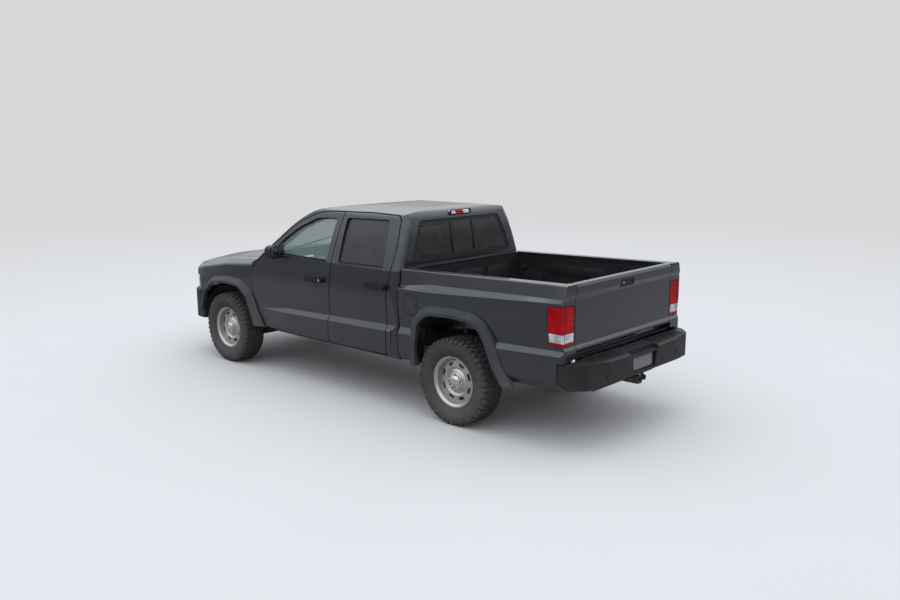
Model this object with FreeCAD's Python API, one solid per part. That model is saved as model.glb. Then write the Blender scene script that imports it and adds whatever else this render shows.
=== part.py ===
import FreeCAD, Part
import math
import os

# Mid-size crew-cab pickup truck on a ladder frame, all sizes in millimetres.
# +X points forward, +Y to the truck's left, +Z up. The origin is on the ground,
# under the centre of the truck's overall box.

V = FreeCAD.Vector

# overall layout
LENGTH = 5558.0
WHEELBASE = 3335.0
FRONT_OVERHANG = 909.0
TRACK = 1595.0
NOSE = LENGTH / 2
TAIL = -LENGTH / 2
X_FRONT = NOSE - FRONT_OVERHANG
X_REAR = X_FRONT - WHEELBASE

# tyres and rims
TYRE_R = 380.0
TYRE_W = 250.0
RIM_SEAT_R = 203.0
RIM_FLANGE_R = 222.0
RIM_W = 192.0
RIM_WALL = 9.0
HUB_R = 78.0
CAP_R = 56.0
SLOTS = 8
SLOT_R = 152.0
SLOT_LONG = 54.0
SLOT_HIGH = 27.0
SPINDLE_R = 28.0
SHAFT_CLEAR = 0.1

# panel gaps and thicknesses
GAP = 9.0
DOOR_SKIN = 10.0
DOOR_THICK = 80.0
FRAME_THICK = 50.0
DOOR_SEAL = 17.0
POST_THICK = 37.0
DOOR_INSET = 24.0
FLANGE = 62.0
GLASS_T = 5.0
GLASS_SINK = 14.0

# body heights and half widths
SILL_Z = 455.0
SILL_Y = 862.0
SIDE_Y = 910.0
LEDGE_Y = 880.0
LEDGE_R = 12.0
BULGE_Y = 900.0
BELT_Y = 876.0
BELT_Z = 1255.0
RAIL_Y = 706.0
RAIL_Z = 1742.0
ROOF_Z = 1782.0
CAB_FRONT = 1440.0
CAB_BACK = -797.0
WINDSHIELD_BOW = 95.0
BACK_BOW = 22.0
BACK_CORNER_R = 75.0

# door edges, seen from the side
DOOR_FRONT_X = 1393.0
B_SEAM_X = 155.0
REAR_SEAM_X = -652.0
DOOR_TOP_Z = 1728.0
HINGE_BACK = 78.0
HINGE_Y = 876.0
HINGE_PIN_R = 5.0
HINGE_LEAF = 34.0
HINGE_BARREL = 15.0
HINGE_HEIGHTS = (905.0, 1045.0)
SWING_R = 62.0

# cargo bed
BED_FRONT = -822.0
BED_REAR = -2588.0
BED_OPEN_REAR = -2518.0
BED_RAIL_Y = 848.0
BED_FLOOR_Z = 850.0
BED_WALL_Y = 757.0
BED_WALL_FRONT = 52.0
BED_FLOOR_T = 60.0
BED_RAIL_Z = (1284.0, 1324.0)
LINER_T = 7.0
RIB_PITCH = 110.0
RIB_WIDTH = 55.0
RIB_HEIGHT = 10.0
WHEELHOUSE_Y = 573.0
WHEELHOUSE_WALL = 32.0
SKIRT = 45.0
SILL_LOW_Z = 736.0
SILL_TOP_Z = 752.0
# x of a cross sill under the floor, and the height of the frame below it
FLOOR_SILLS = [(-930, 512), (-1160, 640), (-1960, 648), (-2440, 600)]

# tailgate
GATE_Y = 728.0
GATE_INNER_X = -2532.0
GATE_HINGE_X = -2556.0
GATE_HINGE_Z = 806.0
GATE_BOTTOM_Z = GATE_HINGE_Z - GATE_INNER_X + GATE_HINGE_X
TRUNNION_R = 12.0

# flares stand proud of the body side
FLARE_Y = 938.0
FLARE_ROOT_Y = 870.0

# chassis
RAIL_MID_Y = 430.0
RAIL_W = 70.0
KINGPIN_Y = 712.0
KINGPIN_R = 14.0
AXLE_Z = TYRE_R


def corner(before, here, after, radius):
    """Start, middle and end of the arc that rounds a corner, in the outline's plane."""
    ax, ay = before[0] - here[0], before[1] - here[1]
    bx, by = after[0] - here[0], after[1] - here[1]
    la, lb = math.hypot(ax, ay), math.hypot(bx, by)
    ax, ay, bx, by = ax / la, ay / la, bx / lb, by / lb
    half = math.acos(max(-1.0, min(1.0, ax * bx + ay * by))) / 2
    reach = radius / math.tan(half)
    limit = 0.49 * min(la, lb)
    if reach > limit:
        reach = limit
        radius = reach * math.tan(half)
    mx, my = ax + bx, ay + by
    lm = math.hypot(mx, my)
    centre = radius / math.sin(half)
    inner = centre - radius
    start = (here[0] + ax * reach, here[1] + ay * reach)
    middle = (here[0] + mx / lm * inner, here[1] + my / lm * inner)
    end = (here[0] + bx * reach, here[1] + by * reach)
    return start, middle, end


def outline(points, place):
    """Closed wire round control points (u, v, radius), with each corner rounded."""
    count = len(points)
    arcs = []
    for i, (u, v, radius) in enumerate(points):
        if radius > 0:
            arcs.append(corner(points[i - 1], (u, v), points[(i + 1) % count], radius))
        else:
            arcs.append(((u, v), None, (u, v)))
    edges = []
    for i, (start, middle, end) in enumerate(arcs):
        if middle is not None:
            edges.append(Part.Arc(place(*start), place(*middle), place(*end)).toShape())
        following = arcs[(i + 1) % count][0]
        edges.append(Part.makeLine(place(*end), place(*following)))
    return Part.Wire(edges)


def side_plane(y):
    return lambda u, v: V(u, y, v)


def cross_plane(x):
    return lambda u, v: V(x, u, v)


def plan_plane(z):
    return lambda u, v: V(u, v, z)


def side_prism(points, y0, y1):
    """Outline in X and Z, carried along Y."""
    return Part.Face(outline(points, side_plane(y0))).extrude(V(0, y1 - y0, 0))


def cross_prism(points, x0, x1):
    """Outline in Y and Z, carried along X."""
    return Part.Face(outline(points, cross_plane(x0))).extrude(V(x1 - x0, 0, 0))


def plan_prism(points, z0, z1):
    """Outline in X and Y, carried along Z."""
    return Part.Face(outline(points, plan_plane(z0))).extrude(V(0, 0, z1 - z0))


def box(x0, x1, y0, y1, z0, z1):
    return Part.makeBox(x1 - x0, y1 - y0, z1 - z0, V(x0, y0, z0))


def rod(start, end, radius):
    direction = end.sub(start)
    return Part.makeCylinder(radius, direction.Length, start, direction)


def mirrored(shape):
    """The same shape on the truck's other side."""
    return shape.mirror(V(0, 0, 0), V(0, 1, 0))


def both(shape):
    """A left piece and its mirror image, as one compound of two solids."""
    return Part.makeCompound([shape, mirrored(shape)])


def full_section(half):
    """Half a cross-section (y, z, radius), from bottom to top, mirrored to a whole one."""
    return half + [(-y, z, radius) for y, z, radius in reversed(half)]


def loft(sections, ruled=True):
    return Part.makeLoft(sections, True, ruled)


def grown(points, by):
    """An outline moved outwards (or inwards, if by is negative) along its corners."""
    area = sum(
        points[i - 1][0] * points[i][1] - points[i][0] * points[i - 1][1]
        for i in range(len(points))
    )
    sign = 1 if area > 0 else -1
    result = []
    count = len(points)
    for i, (u, v, radius) in enumerate(points):
        pu, pv = points[i - 1][:2]
        nu, nv = points[(i + 1) % count][:2]
        a, b = math.hypot(u - pu, v - pv), math.hypot(nu - u, nv - v)
        n1 = ((v - pv) / a * sign, -(u - pu) / a * sign)
        n2 = ((nv - v) / b * sign, -(nu - u) / b * sign)
        cosine = n1[0] * n2[0] + n1[1] * n2[1]
        scale = by / (1 + cosine)
        result.append(
            (u + (n1[0] + n2[0]) * scale, v + (n1[1] + n2[1]) * scale, radius)
        )
    return result


def save(name, shape):
    shape.exportStep(os.path.join("parts", name + ".step"))
    solids = len(shape.Solids)
    print(name, solids, round(shape.Volume / 1e6, 2), shape.isValid())


# the cab's outer skin: a long section with a ledge that starts as a pointed wedge in front
# x, y below the ledge, z of the ledge's lower and upper edge
CAB_SECTIONS = [
    (CAB_BACK - 60, SIDE_Y, 712, 772),
    (800, SIDE_Y - 3, 680, 727),
    (1235, LEDGE_Y + 3, 671, 681),
    (CAB_FRONT + 20, LEDGE_Y + 3, 667, 677),
]
BULGE_Z = 1010.0
BULGE_END_Z = 1080.0
SHOULDER_Z = 1500.0
SHOULDER_Y = BELT_Y - 76


def cab_half(low_y, ledge_low, ledge_high):
    # y, z, corner radius
    return [
        (SILL_Y, SILL_Z, 25),
        (low_y - 8, SILL_Z + 60, 60),
        (low_y, ledge_low, LEDGE_R),
        (LEDGE_Y, ledge_high, LEDGE_R),
        (BULGE_Y, BULGE_Z, 700),
        (BELT_Y, BELT_Z, 60),
        (SHOULDER_Y, SHOULDER_Z, 2200),
        (RAIL_Y, RAIL_Z, 70),
        (RAIL_Y / 2, ROOF_Z, 1500),
    ]


def inset_half(side, frame, roof, floor_z):
    """The same section moved in by a side, window-frame and roof thickness."""
    low_y = BULGE_Y - 8 - side
    # y, z, corner radius
    return [
        (low_y, floor_z, 0),
        (low_y, BULGE_END_Z, 100),
        (low_y - 18, BELT_Z - 20, 20),
        (BELT_Y - frame - 4, BELT_Z + 12, 20),
        (SHOULDER_Y - frame - 4, SHOULDER_Z - 5, 2200),
        (RAIL_Y - frame - 6, RAIL_Z - roof, 45),
        (RAIL_Y / 2, ROOF_Z - roof, 1500),
    ]


def cab_outer():
    wires = []
    for x, low_y, ledge_low, ledge_high in CAB_SECTIONS:
        wires.append(outline(full_section(cab_half(low_y, ledge_low, ledge_high)), cross_plane(x)))
    return loft(wires)


def inset_body(side, frame, roof, floor_z):
    half = inset_half(side, frame, roof, floor_z)
    return cross_prism(full_section(half), CAB_BACK - 60, CAB_FRONT + 20)


# the cab seen from the side, with the windshield and back bowed in plan
def cab_profile_points(bow, back, inset):
    # x, z, corner radius
    slope = inset * 1.6
    return [
        (CAB_BACK - back + inset, SILL_Z - 60, 0),
        (CAB_FRONT - inset, SILL_Z - 60, 0),
        (CAB_FRONT - inset, 1120, 40),
        (1262 + bow - slope, 1196, 20),
        (700 + bow - slope, 1622, 2600),
        (430 + bow * 0.8 - inset, ROOF_Z - 35 - inset, 700),
        (-20, ROOF_Z + 3 - inset, 3000),
        (-640, ROOF_Z + 2 - inset, 300),
        (-722 - back + inset, ROOF_Z - 30 - inset, 90),
        (-762 - back + inset, 1600, 900),
        (CAB_BACK - back + inset, 1300, 900),
    ]


def cab_profile(inset=0.0, shift=0.0):
    wires = []
    for y, share in ((-920.0, 0.0), (0.0, 1.0), (920.0, 0.0)):
        points = cab_profile_points(WINDSHIELD_BOW * share, BACK_BOW * share, inset)
        points = [(u + shift, v, r) for u, v, r in points]
        wires.append(outline(points, side_plane(y)))
    return loft(wires, ruled=False)


# height, y of the side and x of the back, where they would meet in a sharp corner
BACK_CORNER = [
    (SILL_Z - 80, BULGE_Y, CAB_BACK),
    (BULGE_Z, BULGE_Y, CAB_BACK),
    (BELT_Z, BELT_Y, CAB_BACK),
    (1400, 831, -785),
    (SHOULDER_Z, SHOULDER_Y - 1, -774),
    (1620, 753, -757),
    (1800, 683, -712),
]


def back_corner():
    """What is taken off the cab's upright left rear corner to round it in plan."""
    wires = []
    radius = BACK_CORNER_R
    cut_in = radius * (1 - math.sqrt(0.5))
    for z, side_y, back_x in BACK_CORNER:
        x = back_x - BACK_BOW * (1 - (side_y / 920.0) ** 2)
        arc = Part.Arc(
            V(x - 2, side_y - radius, z), V(x + cut_in, side_y - cut_in, z), V(x + radius, side_y + 2, z))
        rest = Part.makePolygon([
            V(x + radius, side_y + 2, z), V(x + radius, side_y + 80, z), V(x - 80, side_y + 80, z),
            V(x - 80, side_y - radius, z), V(x - 2, side_y - radius, z),
        ])
        wires.append(Part.Wire([arc.toShape()] + rest.Edges))
    return loft(wires)


# door and window outlines, seen from the side: x, z, corner radius
FLARE_LOW_X = 1195.0
# the seam between the doors bows by less than its gap, so that no straight piece crosses it
B_SEAM = [
    (75, DOOR_TOP_Z, 14),
    (113, BELT_Z, 900),
    (124, 1080, 900),
    (142, 800, 900),
    (B_SEAM_X, SILL_Z + 22, 30),
]
SWING_STEP = 4.0


def front_door(step=0.0):
    """The front door's edge. A step moves its lower front forward, for the body's edge there."""
    upper = [
        (DOOR_FRONT_X, 1080, 60),
        (1236, 1196, 30),
        (1020, 1372, 900),
        (720, 1592, 700),
        (420, DOOR_TOP_Z - 12, 700),
    ]
    lower = [
        (FLARE_LOW_X, SILL_Z + 15, 20),
        (1283, 612, 300),
        (1362, 775, 200),
    ]
    seam = [(x + GAP / 2, z, radius) for x, z, radius in B_SEAM]
    lower = [(x + step, z, radius) for x, z, radius in lower]
    return upper + seam + lower + [(DOOR_FRONT_X, 850, 80)]


FRONT_DOOR = front_door()
FRONT_REVEAL = grown(front_door(SWING_STEP), GAP)
REAR_DOOR = [(x - GAP / 2, z, radius) for x, z, radius in reversed(B_SEAM)] + [
    (-300, DOOR_TOP_Z + 8, 3000),
    (-688, DOOR_TOP_Z, 60),
    (-727, 1440, 600),
    (-698, BELT_Z, 300),
    (-655, 1050, 600),
    (REAR_SEAM_X, SILL_Z + 30, 30),
]
REAR_REVEAL = grown(REAR_DOOR, GAP)
FRONT_WINDOW = [
    (962, 1270, 14),
    (184, 1262, 20),
    (160, 1668, 22),
    (440, 1660, 420),
    (700, 1548, 500),
    (920, 1398, 600),
    (1000, 1312, 20),
]
REAR_WINDOW = [
    (12, 1268, 22),
    (20, 1680, 30),
    (-560, 1690, 40),
    (-603, 1277, 30),
]
REAR_GLASS = [
    (712, 1318, 40),
    (556, 1684, 60),
    (-556, 1684, 60),
    (-712, 1318, 40),
]
WINDSHIELD = [
    (738, 1232, 40),
    (596, 1706, 80),
    (-596, 1706, 80),
    (-738, 1232, 40),
]
SIDES = (("left", 1), ("right", -1))


def hinge_axis_x(front_edge):
    return front_edge - HINGE_BACK


def hinge_cut(front_edge):
    """Slots and pin bores in a door, for its two hinges."""
    x = hinge_axis_x(front_edge)
    cuts = []
    for z in HINGE_HEIGHTS:
        low, high = z - HINGE_LEAF / 2, z + HINGE_LEAF / 2
        cuts.append(box(x - 14, x + HINGE_BACK + 30, HINGE_Y - 110, HINGE_Y + 10, low, high))
        bore = HINGE_PIN_R + SHAFT_CLEAR
        pin = rod(V(x, HINGE_Y, low - HINGE_BARREL - 1), V(x, HINGE_Y, high + HINGE_BARREL + 1), bore)
        cuts.append(pin)
    return cuts


def hinge_leaves(front_edge):
    """Leaves and pins on the pillar, one pair for each door."""
    x = hinge_axis_x(front_edge)
    pieces = []
    for z in HINGE_HEIGHTS:
        low, high = z - HINGE_LEAF / 2 + 2, z + HINGE_LEAF / 2 - 2
        post_y = BULGE_Y - 8 - DOOR_THICK - DOOR_SEAL
        pieces.append(box(x - 4, x + 4, post_y - 8, HINGE_Y, low, high))
        pieces.append(box(x - 4, x + 36, post_y - 8, post_y + 5, low, high))
        low, high = z - HINGE_LEAF / 2 - HINGE_BARREL, z + HINGE_LEAF / 2 + HINGE_BARREL
        pieces.append(rod(V(x, HINGE_Y, low), V(x, HINGE_Y, high), HINGE_PIN_R))
        low, high = z - HINGE_LEAF / 2 + 2, z + HINGE_LEAF / 2 - 2
        pieces.append(rod(V(x, HINGE_Y, low), V(x, HINGE_Y, high), HINGE_PIN_R + 3))
    return pieces


def make_door(envelope, skin_inner, thick_inner, points, window, front_edge):
    reach = (400.0, 1000.0)
    skin = side_prism(points, *reach).common(envelope).cut(skin_inner)
    inner = side_prism(grown(points, -DOOR_INSET), *reach).common(skin_inner.common(envelope))
    inner = inner.cut(thick_inner)
    # ahead of the hinge pins the door's inner edge is rounded to swing clear of the post
    x = hinge_axis_x(front_edge)
    swing = box(x, x + 200, 500, HINGE_Y + 4, 300, 1130)
    swing = swing.cut(rod(V(x, HINGE_Y, 300), V(x, HINGE_Y, 1130), SWING_R))
    inner = inner.cut(swing)
    door = skin.fuse(inner).cut(side_prism(window, *reach))
    for cutter in hinge_cut(front_edge):
        door = door.cut(cutter)
    return door.removeSplitter()


def make_cab():
    outer = cab_outer()
    profile = cab_profile()
    rounding = back_corner()
    envelope = outer.common(profile).cut(rounding).cut(mirrored(rounding))
    skin_inner = inset_body(DOOR_SKIN + BULGE_Y - 8 - LEDGE_Y, DOOR_SKIN, DOOR_SKIN, SILL_Z - 40)
    door_inner = inset_body(DOOR_THICK, FRAME_THICK, FRAME_THICK, SILL_Z - 40)
    seal = inset_body(DOOR_THICK + DOOR_SEAL, FRAME_THICK + DOOR_SEAL, FRAME_THICK, SILL_Z - 40)
    side_in = DOOR_THICK + DOOR_SEAL + POST_THICK
    frame_in = FRAME_THICK + DOOR_SEAL + POST_THICK - 8
    room = inset_body(side_in, frame_in, 62, SILL_Z + 85)
    room = room.common(cab_profile(inset=58.0))

    doors = {
        "front": make_door(envelope, skin_inner, door_inner, FRONT_DOOR, FRONT_WINDOW, DOOR_FRONT_X),
        "rear": make_door(envelope, skin_inner, door_inner, REAR_DOOR, REAR_WINDOW, B_SEAM_X),
    }
    glass_out = inset_body(GLASS_SINK, GLASS_SINK, GLASS_SINK, 1000)
    glass_in = inset_body(GLASS_SINK + GLASS_T, GLASS_SINK + GLASS_T, GLASS_SINK + GLASS_T, 990)
    sheet = glass_out.cut(glass_in)
    glass = {
        "front": sheet.common(side_prism(FRONT_WINDOW, 400, 1000)),
        "rear": sheet.common(side_prism(REAR_WINDOW, 400, 1000)),
    }

    shell = envelope.cut(room)
    # rabbets that the doors close into, and the openings inside them
    for points, reveal in ((FRONT_DOOR, FRONT_REVEAL), (REAR_DOOR, REAR_REVEAL)):
        for y0, y1 in ((400, 1000), (-1000, -400)):
            rabbet = side_prism(reveal, y0, y1).cut(seal)
            shell = shell.cut(rabbet)
            shell = shell.cut(side_prism(grown(points, -FLANGE), y0, y1))
    # glass openings
    shell = shell.cut(cross_prism(WINDSHIELD, 240, CAB_FRONT + 100))
    shell = shell.cut(cross_prism(REAR_GLASS, CAB_BACK - 100, -600))
    # room for the fenders in front of the doors, and no floor between the sills
    for y0, y1 in ((842, 1000), (-1000, -842)):
        shell = shell.cut(box(DOOR_FRONT_X - 14, CAB_FRONT + 60, y0, y1, 300, 1300))
    floor_y = BULGE_Y - 8 - side_in
    shell = shell.cut(box(CAB_BACK - 100, CAB_FRONT + 60, -floor_y, floor_y, 300, 1150))

    windshield = cab_profile(shift=-10.0).cut(cab_profile(shift=-20.0))
    windshield = windshield.common(cross_prism(WINDSHIELD, 240, CAB_FRONT + 100))
    back_glass = cab_profile(shift=10.0).cut(cab_profile(shift=16.0))
    back_glass = back_glass.common(cross_prism(REAR_GLASS, CAB_BACK - 100, -600))
    return envelope, shell, doors, glass, windshield, back_glass


# the line along which the cab's sides meet its roof, back and cowl
SIDE_SPLIT = [(545, 1900, 0), (545, 1700, 0), (705, 1200, 0), (705, 200, 0), (1100, 200, 0), (1100, 1900, 0)]
ROOF_SPLIT_Z = 1620.0


def cab_nodes(shell):
    """Side frames, roof, back panel and cowl, split where the real panels meet."""
    region = cross_prism(SIDE_SPLIT, CAB_BACK - 100, CAB_FRONT + 100)
    side = shell.common(region)
    centre = shell.cut(region).cut(mirrored(region))
    for edge in (DOOR_FRONT_X, B_SEAM_X):
        for leaf in hinge_leaves(edge):
            side = side.fuse(leaf)
    hood_pin = rod(
        V(HOOD_HINGE_X, HOOD_HINGE_Y - HOOD_ARM_T - 12, HOOD_HINGE_Z),
        V(HOOD_HINGE_X, TUB_Y + 20, HOOD_HINGE_Z), HOOD_PIN_R,
    )
    side = side.fuse(hood_pin)
    slot = box(
        HOOD_HINGE_X - 30, CAB_FRONT + 20, HOOD_HINGE_Y - HOOD_ARM_T - 6, HOOD_HINGE_Y + 6,
        HOOD_HINGE_Z, HOOD_HINGE_Z + 90,
    )
    centre = centre.cut(slot).cut(mirrored(slot))
    big = 2000
    return {
        "cab_side_left": side,
        "cab_side_right": mirrored(side),
        "cab_roof": centre.common(box(-big, big, -big, big, ROOF_SPLIT_Z, big)),
        "cab_back": centre.common(box(-big, -600, -big, big, 0, ROOF_SPLIT_Z)),
        "cowl": centre.common(box(600, big, -big, big, 0, ROOF_SPLIT_Z)),
    }


# the tub under and around the seats: floor, firewall and the wall behind the rear bench
FLOOR_Z = 565.0
FLOOR_T = 30.0
TUB_Y = 757.0
FIREWALL_X = 1225.0
TUNNEL_Y = 150.0
TUNNEL_Z = 655.0


def make_floor():
    back = CAB_BACK + 4
    floor = box(back, FIREWALL_X, -TUB_Y, TUB_Y, FLOOR_Z - FLOOR_T, FLOOR_Z)
    firewall = box(FIREWALL_X - FLOOR_T, FIREWALL_X, -TUB_Y, TUB_Y, FLOOR_Z, 1149)
    rear = box(back, back + FLOOR_T, -TUB_Y, TUB_Y, FLOOR_Z, 1149)
    tunnel = cross_prism(
        [(-TUNNEL_Y, FLOOR_Z, 0), (-TUNNEL_Y + 30, TUNNEL_Z, 30), (TUNNEL_Y - 30, TUNNEL_Z, 30), (TUNNEL_Y, FLOOR_Z, 0)],
        200, FIREWALL_X - FLOOR_T,
    )
    hollow = cross_prism(
        [(-TUNNEL_Y + FLOOR_T, FLOOR_Z - FLOOR_T, 0), (-TUNNEL_Y + 50, TUNNEL_Z - 22, 20),
         (TUNNEL_Y - 50, TUNNEL_Z - 22, 20), (TUNNEL_Y - FLOOR_T, FLOOR_Z - FLOOR_T, 0)],
        200, FIREWALL_X + 10,
    )
    tub = floor.fuse([firewall, rear, tunnel]).cut(hollow)
    # rubber mounts on the frame rails
    for x in (1050.0, 300.0, -560.0):
        for y in (RAIL_MID_Y, -RAIL_MID_Y):
            tub = tub.fuse(rod(V(x, y, RAIL_TOP_Z), V(x, y, FLOOR_Z - FLOOR_T), 40))
    return tub.removeSplitter()


# ladder frame: one rail seen from the side, x, z, corner radius
RAIL_TOP_Z = 512.0
RAIL_OUTLINE = [
    (2600, 640, 0),
    (1580, 640, 150),
    (1420, RAIL_TOP_Z, 150),
    (-1000, RAIL_TOP_Z, 150),
    (-1230, 690, 150),
    (-1850, 690, 150),
    (-2050, 600, 150),
    (-2600, 600, 0),
    (-2600, 490, 0),
    (-2090, 490, 150),
    (-1880, 575, 150),
    (-1210, 575, 150),
    (-960, 400, 150),
    (1450, 400, 150),
    (1620, 525, 150),
    (2600, 525, 0),
]
# x of a crossmember, its lowest and highest z, its length along x
CROSSMEMBERS = [
    (2480, 545, 620, 80),
    (1500, 470, 540, 90),
    (900, 380, 440, 120),
    (200, 402, 450, 80),
    (-860, 474, RAIL_TOP_Z, 80),
    (-1180, 600, 670, 70),
    (-1930, 580, 650, 70),
    (-2470, 505, 585, 80),
]
RECEIVER_OUT = 63.5
RECEIVER_IN = 50.8
RECEIVER_Z = 452.0
RECEIVER_END = -2738.0
HITCH_PIN_R = 8.0
HITCH_PIN_BACK = 60.0
HITCH_BAR_X = -2560.0


# bumper brackets at the rails' ends: first and last x, lowest and highest z
BRACKETS = [(-2705, -2600, 520, 585), (2600, 2690, 545, 620)]
RAIL_IN_Y = RAIL_MID_Y - RAIL_W / 2
RAIL_OUT_Y = RAIL_MID_Y + RAIL_W / 2
RAIL_END_LOW_Z = 490.0


def make_rails():
    rail = side_prism(RAIL_OUTLINE, RAIL_IN_Y, RAIL_OUT_Y)
    for x0, x1, low, high in BRACKETS:
        rail = rail.fuse(box(x0, x1, RAIL_IN_Y + 10, RAIL_OUT_Y - 10, low, high))
    return both(rail.removeSplitter())


def make_crossmembers():
    members = []
    for x, low, high, along in CROSSMEMBERS:
        members.append(box(x - along / 2, x + along / 2, -RAIL_IN_Y, RAIL_IN_Y, low, high))
    return Part.makeCompound(members)


def make_hitch():
    """Cross bar under the rails' rear ends, with a square receiver of four plates."""
    half, bore = RECEIVER_OUT / 2, RECEIVER_IN / 2
    x0, x1 = HITCH_BAR_X - 30, HITCH_BAR_X + 30
    bar = box(x0, x1, -RAIL_OUT_Y, RAIL_OUT_Y, RECEIVER_Z - 30, RECEIVER_Z + 30)
    for side in (1, -1):
        y0, y1 = sorted((side * (RAIL_IN_Y + 10), side * (RAIL_OUT_Y - 10)))
        bar = bar.fuse(box(x0, x1 + 30, y0, y1, RECEIVER_Z, RAIL_END_LOW_Z))
    top = box(RECEIVER_END, x0, -half, half, RECEIVER_Z + bore, RECEIVER_Z + half)
    bottom = box(RECEIVER_END, x0, -half, half, RECEIVER_Z - half, RECEIVER_Z - bore)
    pin_x = RECEIVER_END + HITCH_PIN_BACK
    cheek = box(RECEIVER_END, x0, bore, half, RECEIVER_Z - bore, RECEIVER_Z + bore)
    cheek = cheek.cut(rod(V(pin_x, 0, RECEIVER_Z), V(pin_x, 80, RECEIVER_Z), HITCH_PIN_R))
    return Part.makeCompound([bar.removeSplitter(), top, bottom, cheek, mirrored(cheek)])


# wheel openings seen from the side, x, z, corner radius
FRONT_ARCH = [
    (2356, 250, 0),
    (2330, 520, 200),
    (2235, 745, 200),
    (2090, 850, 200),
    (1850, 880, 500),
    (1600, 868, 200),
    (1468, 775, 200),
    (1382, 600, 300),
    (1305, 430, 300),
    (1225, 250, 0),
]
REAR_ARCH = [
    (-1062, 250, 0),
    (-1058, 420, 100),
    (-1050, 620, 260),
    (-1082, 850, 150),
    (-1215, 930, 170),
    (-1500, 940, 700),
    (-1755, 922, 240),
    (-1858, 740, 400),
    (-1925, 585, 300),
    (-2060, 400, 100),
    (-2060, 250, 0),
]
FLARE_BAND = 88.0


def make_flare(arch, edge_y, body, low_z, front_limit, rear_limit):
    """Wide moulding round a wheel opening, wedge-shaped, on the body's outer skin."""
    wires = []
    for by, y in ((FLARE_BAND, FLARE_ROOT_Y), (FLARE_BAND - 8, edge_y), (26, FLARE_Y)):
        points = [(u, v, radius + by if radius else 0) for u, v, radius in grown(arch, by)]
        wires.append(outline(points, side_plane(y)))
    band = loft(wires)
    band = band.cut(side_prism(arch, 700, 1000)).cut(body)
    band = band.common(box(rear_limit, front_limit, FLARE_ROOT_Y, 1000, low_z, 1400))
    solids = sorted(band.Solids, key=lambda s: s.Volume)
    return solids[-1]


# cargo bed outer sections: x, sill z, ledge low z, ledge high z, bulge z, hip low z, hip high z,
# y of the hip's upper edge, rail y and z
BED_SECTIONS = [
    (BED_FRONT, 465, 711, 770, 1000, 1121, 1133, 868, BED_RAIL_Y, BED_RAIL_Z[0]),
    (-1180, 472, 722, 776, 1000, 1119, 1183, 868, BED_RAIL_Y, 1292),
    (-2400, 496, 774, 816, 1044, 1184, 1212, 870, BED_RAIL_Y, 1320),
    (BED_REAR - 30, 500, 784, 822, 1050, 1192, 1221, 894, BED_RAIL_Y + 14, BED_RAIL_Z[1] + 1),
]
HIP_Y = 904.0
HIP_R = 9.0
BED_CORNER_R = 120.0
GATE_GAP = 6.0
# the rear end seen from the side, shared by the bed's corners and the tailgate: x, z, corner radius
REAR_PROFILE = [
    (BED_REAR - 10, 822, 5),
    (BED_REAR + 6, 846, 6),
    (BED_REAR + 8, 1204, 30),
    (BED_REAR - 6, 1244, 12),
    (BED_REAR - 6, 1300, 20),
]


def bed_outer():
    wires = []
    for x, sill, low, high, bulge, hip_low, hip_high, hip_y, rail_y, rail in BED_SECTIONS:
        # y, z, corner radius
        half = [
            (SILL_Y, sill, 25),
            (SIDE_Y - 8, sill + 60, 60),
            (SIDE_Y, low, LEDGE_R),
            (LEDGE_Y, high, LEDGE_R),
            (HIP_Y + 2, bulge, 300),
            (HIP_Y, hip_low, HIP_R),
            (hip_y, hip_high, HIP_R),
            (rail_y, rail, 14),
        ]
        wires.append(outline(full_section(half), cross_plane(x)))
    plan = [
        (BED_FRONT, 1000, 0),
        (BED_FRONT, -1000, 0),
        (BED_REAR + 80, -1000, 0),
        (BED_REAR + 80, -SIDE_Y - 2, 0),
        (BED_REAR - 10, -SIDE_Y - 2, BED_CORNER_R),
        (BED_REAR - 10, SIDE_Y + 2, BED_CORNER_R),
        (BED_REAR + 80, SIDE_Y + 2, 0),
        (BED_REAR + 80, 1000, 0),
    ]
    side = [(BED_FRONT + 10, 300, 0), (BED_REAR - 10, 300, 0)] + REAR_PROFILE
    side = side + [(BED_REAR + 6, 1500, 0), (BED_FRONT + 10, 1500, 0)]
    return loft(wires).common(plan_prism(plan, 300, 1500)).common(side_prism(side, -1000, 1000))


LAMP_Y = 742.0
LAMP_LOW_Z = 855.0
LAMP_HIGH_Z = 1168.0
LAMP_FRONT_X = -2446.0
LAMP_CORNER = 22.0
LAMP_PLAN = [
    (BED_REAR - 60, LAMP_Y, 0),
    (BED_REAR - 60, 960, 0),
    (LAMP_FRONT_X, 960, 0),
    (LAMP_FRONT_X, 868, 8),
    (-2524, 838, 8),
    (-2546, LAMP_Y, 0),
]
# the same, seen from the side and from behind, to round the lamp's four corners
LAMP_SIDE = [
    (LAMP_FRONT_X, LAMP_LOW_Z, LAMP_CORNER),
    (LAMP_FRONT_X, LAMP_HIGH_Z, LAMP_CORNER),
    (BED_REAR - 60, LAMP_HIGH_Z, 0),
    (BED_REAR - 60, LAMP_LOW_Z, 0),
]
LAMP_REAR = [
    (LAMP_Y, LAMP_LOW_Z, LAMP_CORNER),
    (LAMP_Y, LAMP_HIGH_Z, LAMP_CORNER),
    (960, LAMP_HIGH_Z, 0),
    (960, LAMP_LOW_Z, 0),
]
FUEL_X = -980.0
FUEL_Z = 990.0
FUEL_W = 160.0
FUEL_H = 182.0
FUEL_CORNER = 70.0
FUEL_GAP = 5.0
FUEL_LID = 6.0
FUEL_PIN_R = 3.0
FUEL_BARREL_R = 5.0
FUEL_HINGE_X = FUEL_X + FUEL_W / 2 + 20
FUEL_HINGE_Y = HIP_Y - 11
FUEL_BARREL = 32.0
FUEL_NECK = 24.0
FUEL_NECK_T = 4.0


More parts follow.
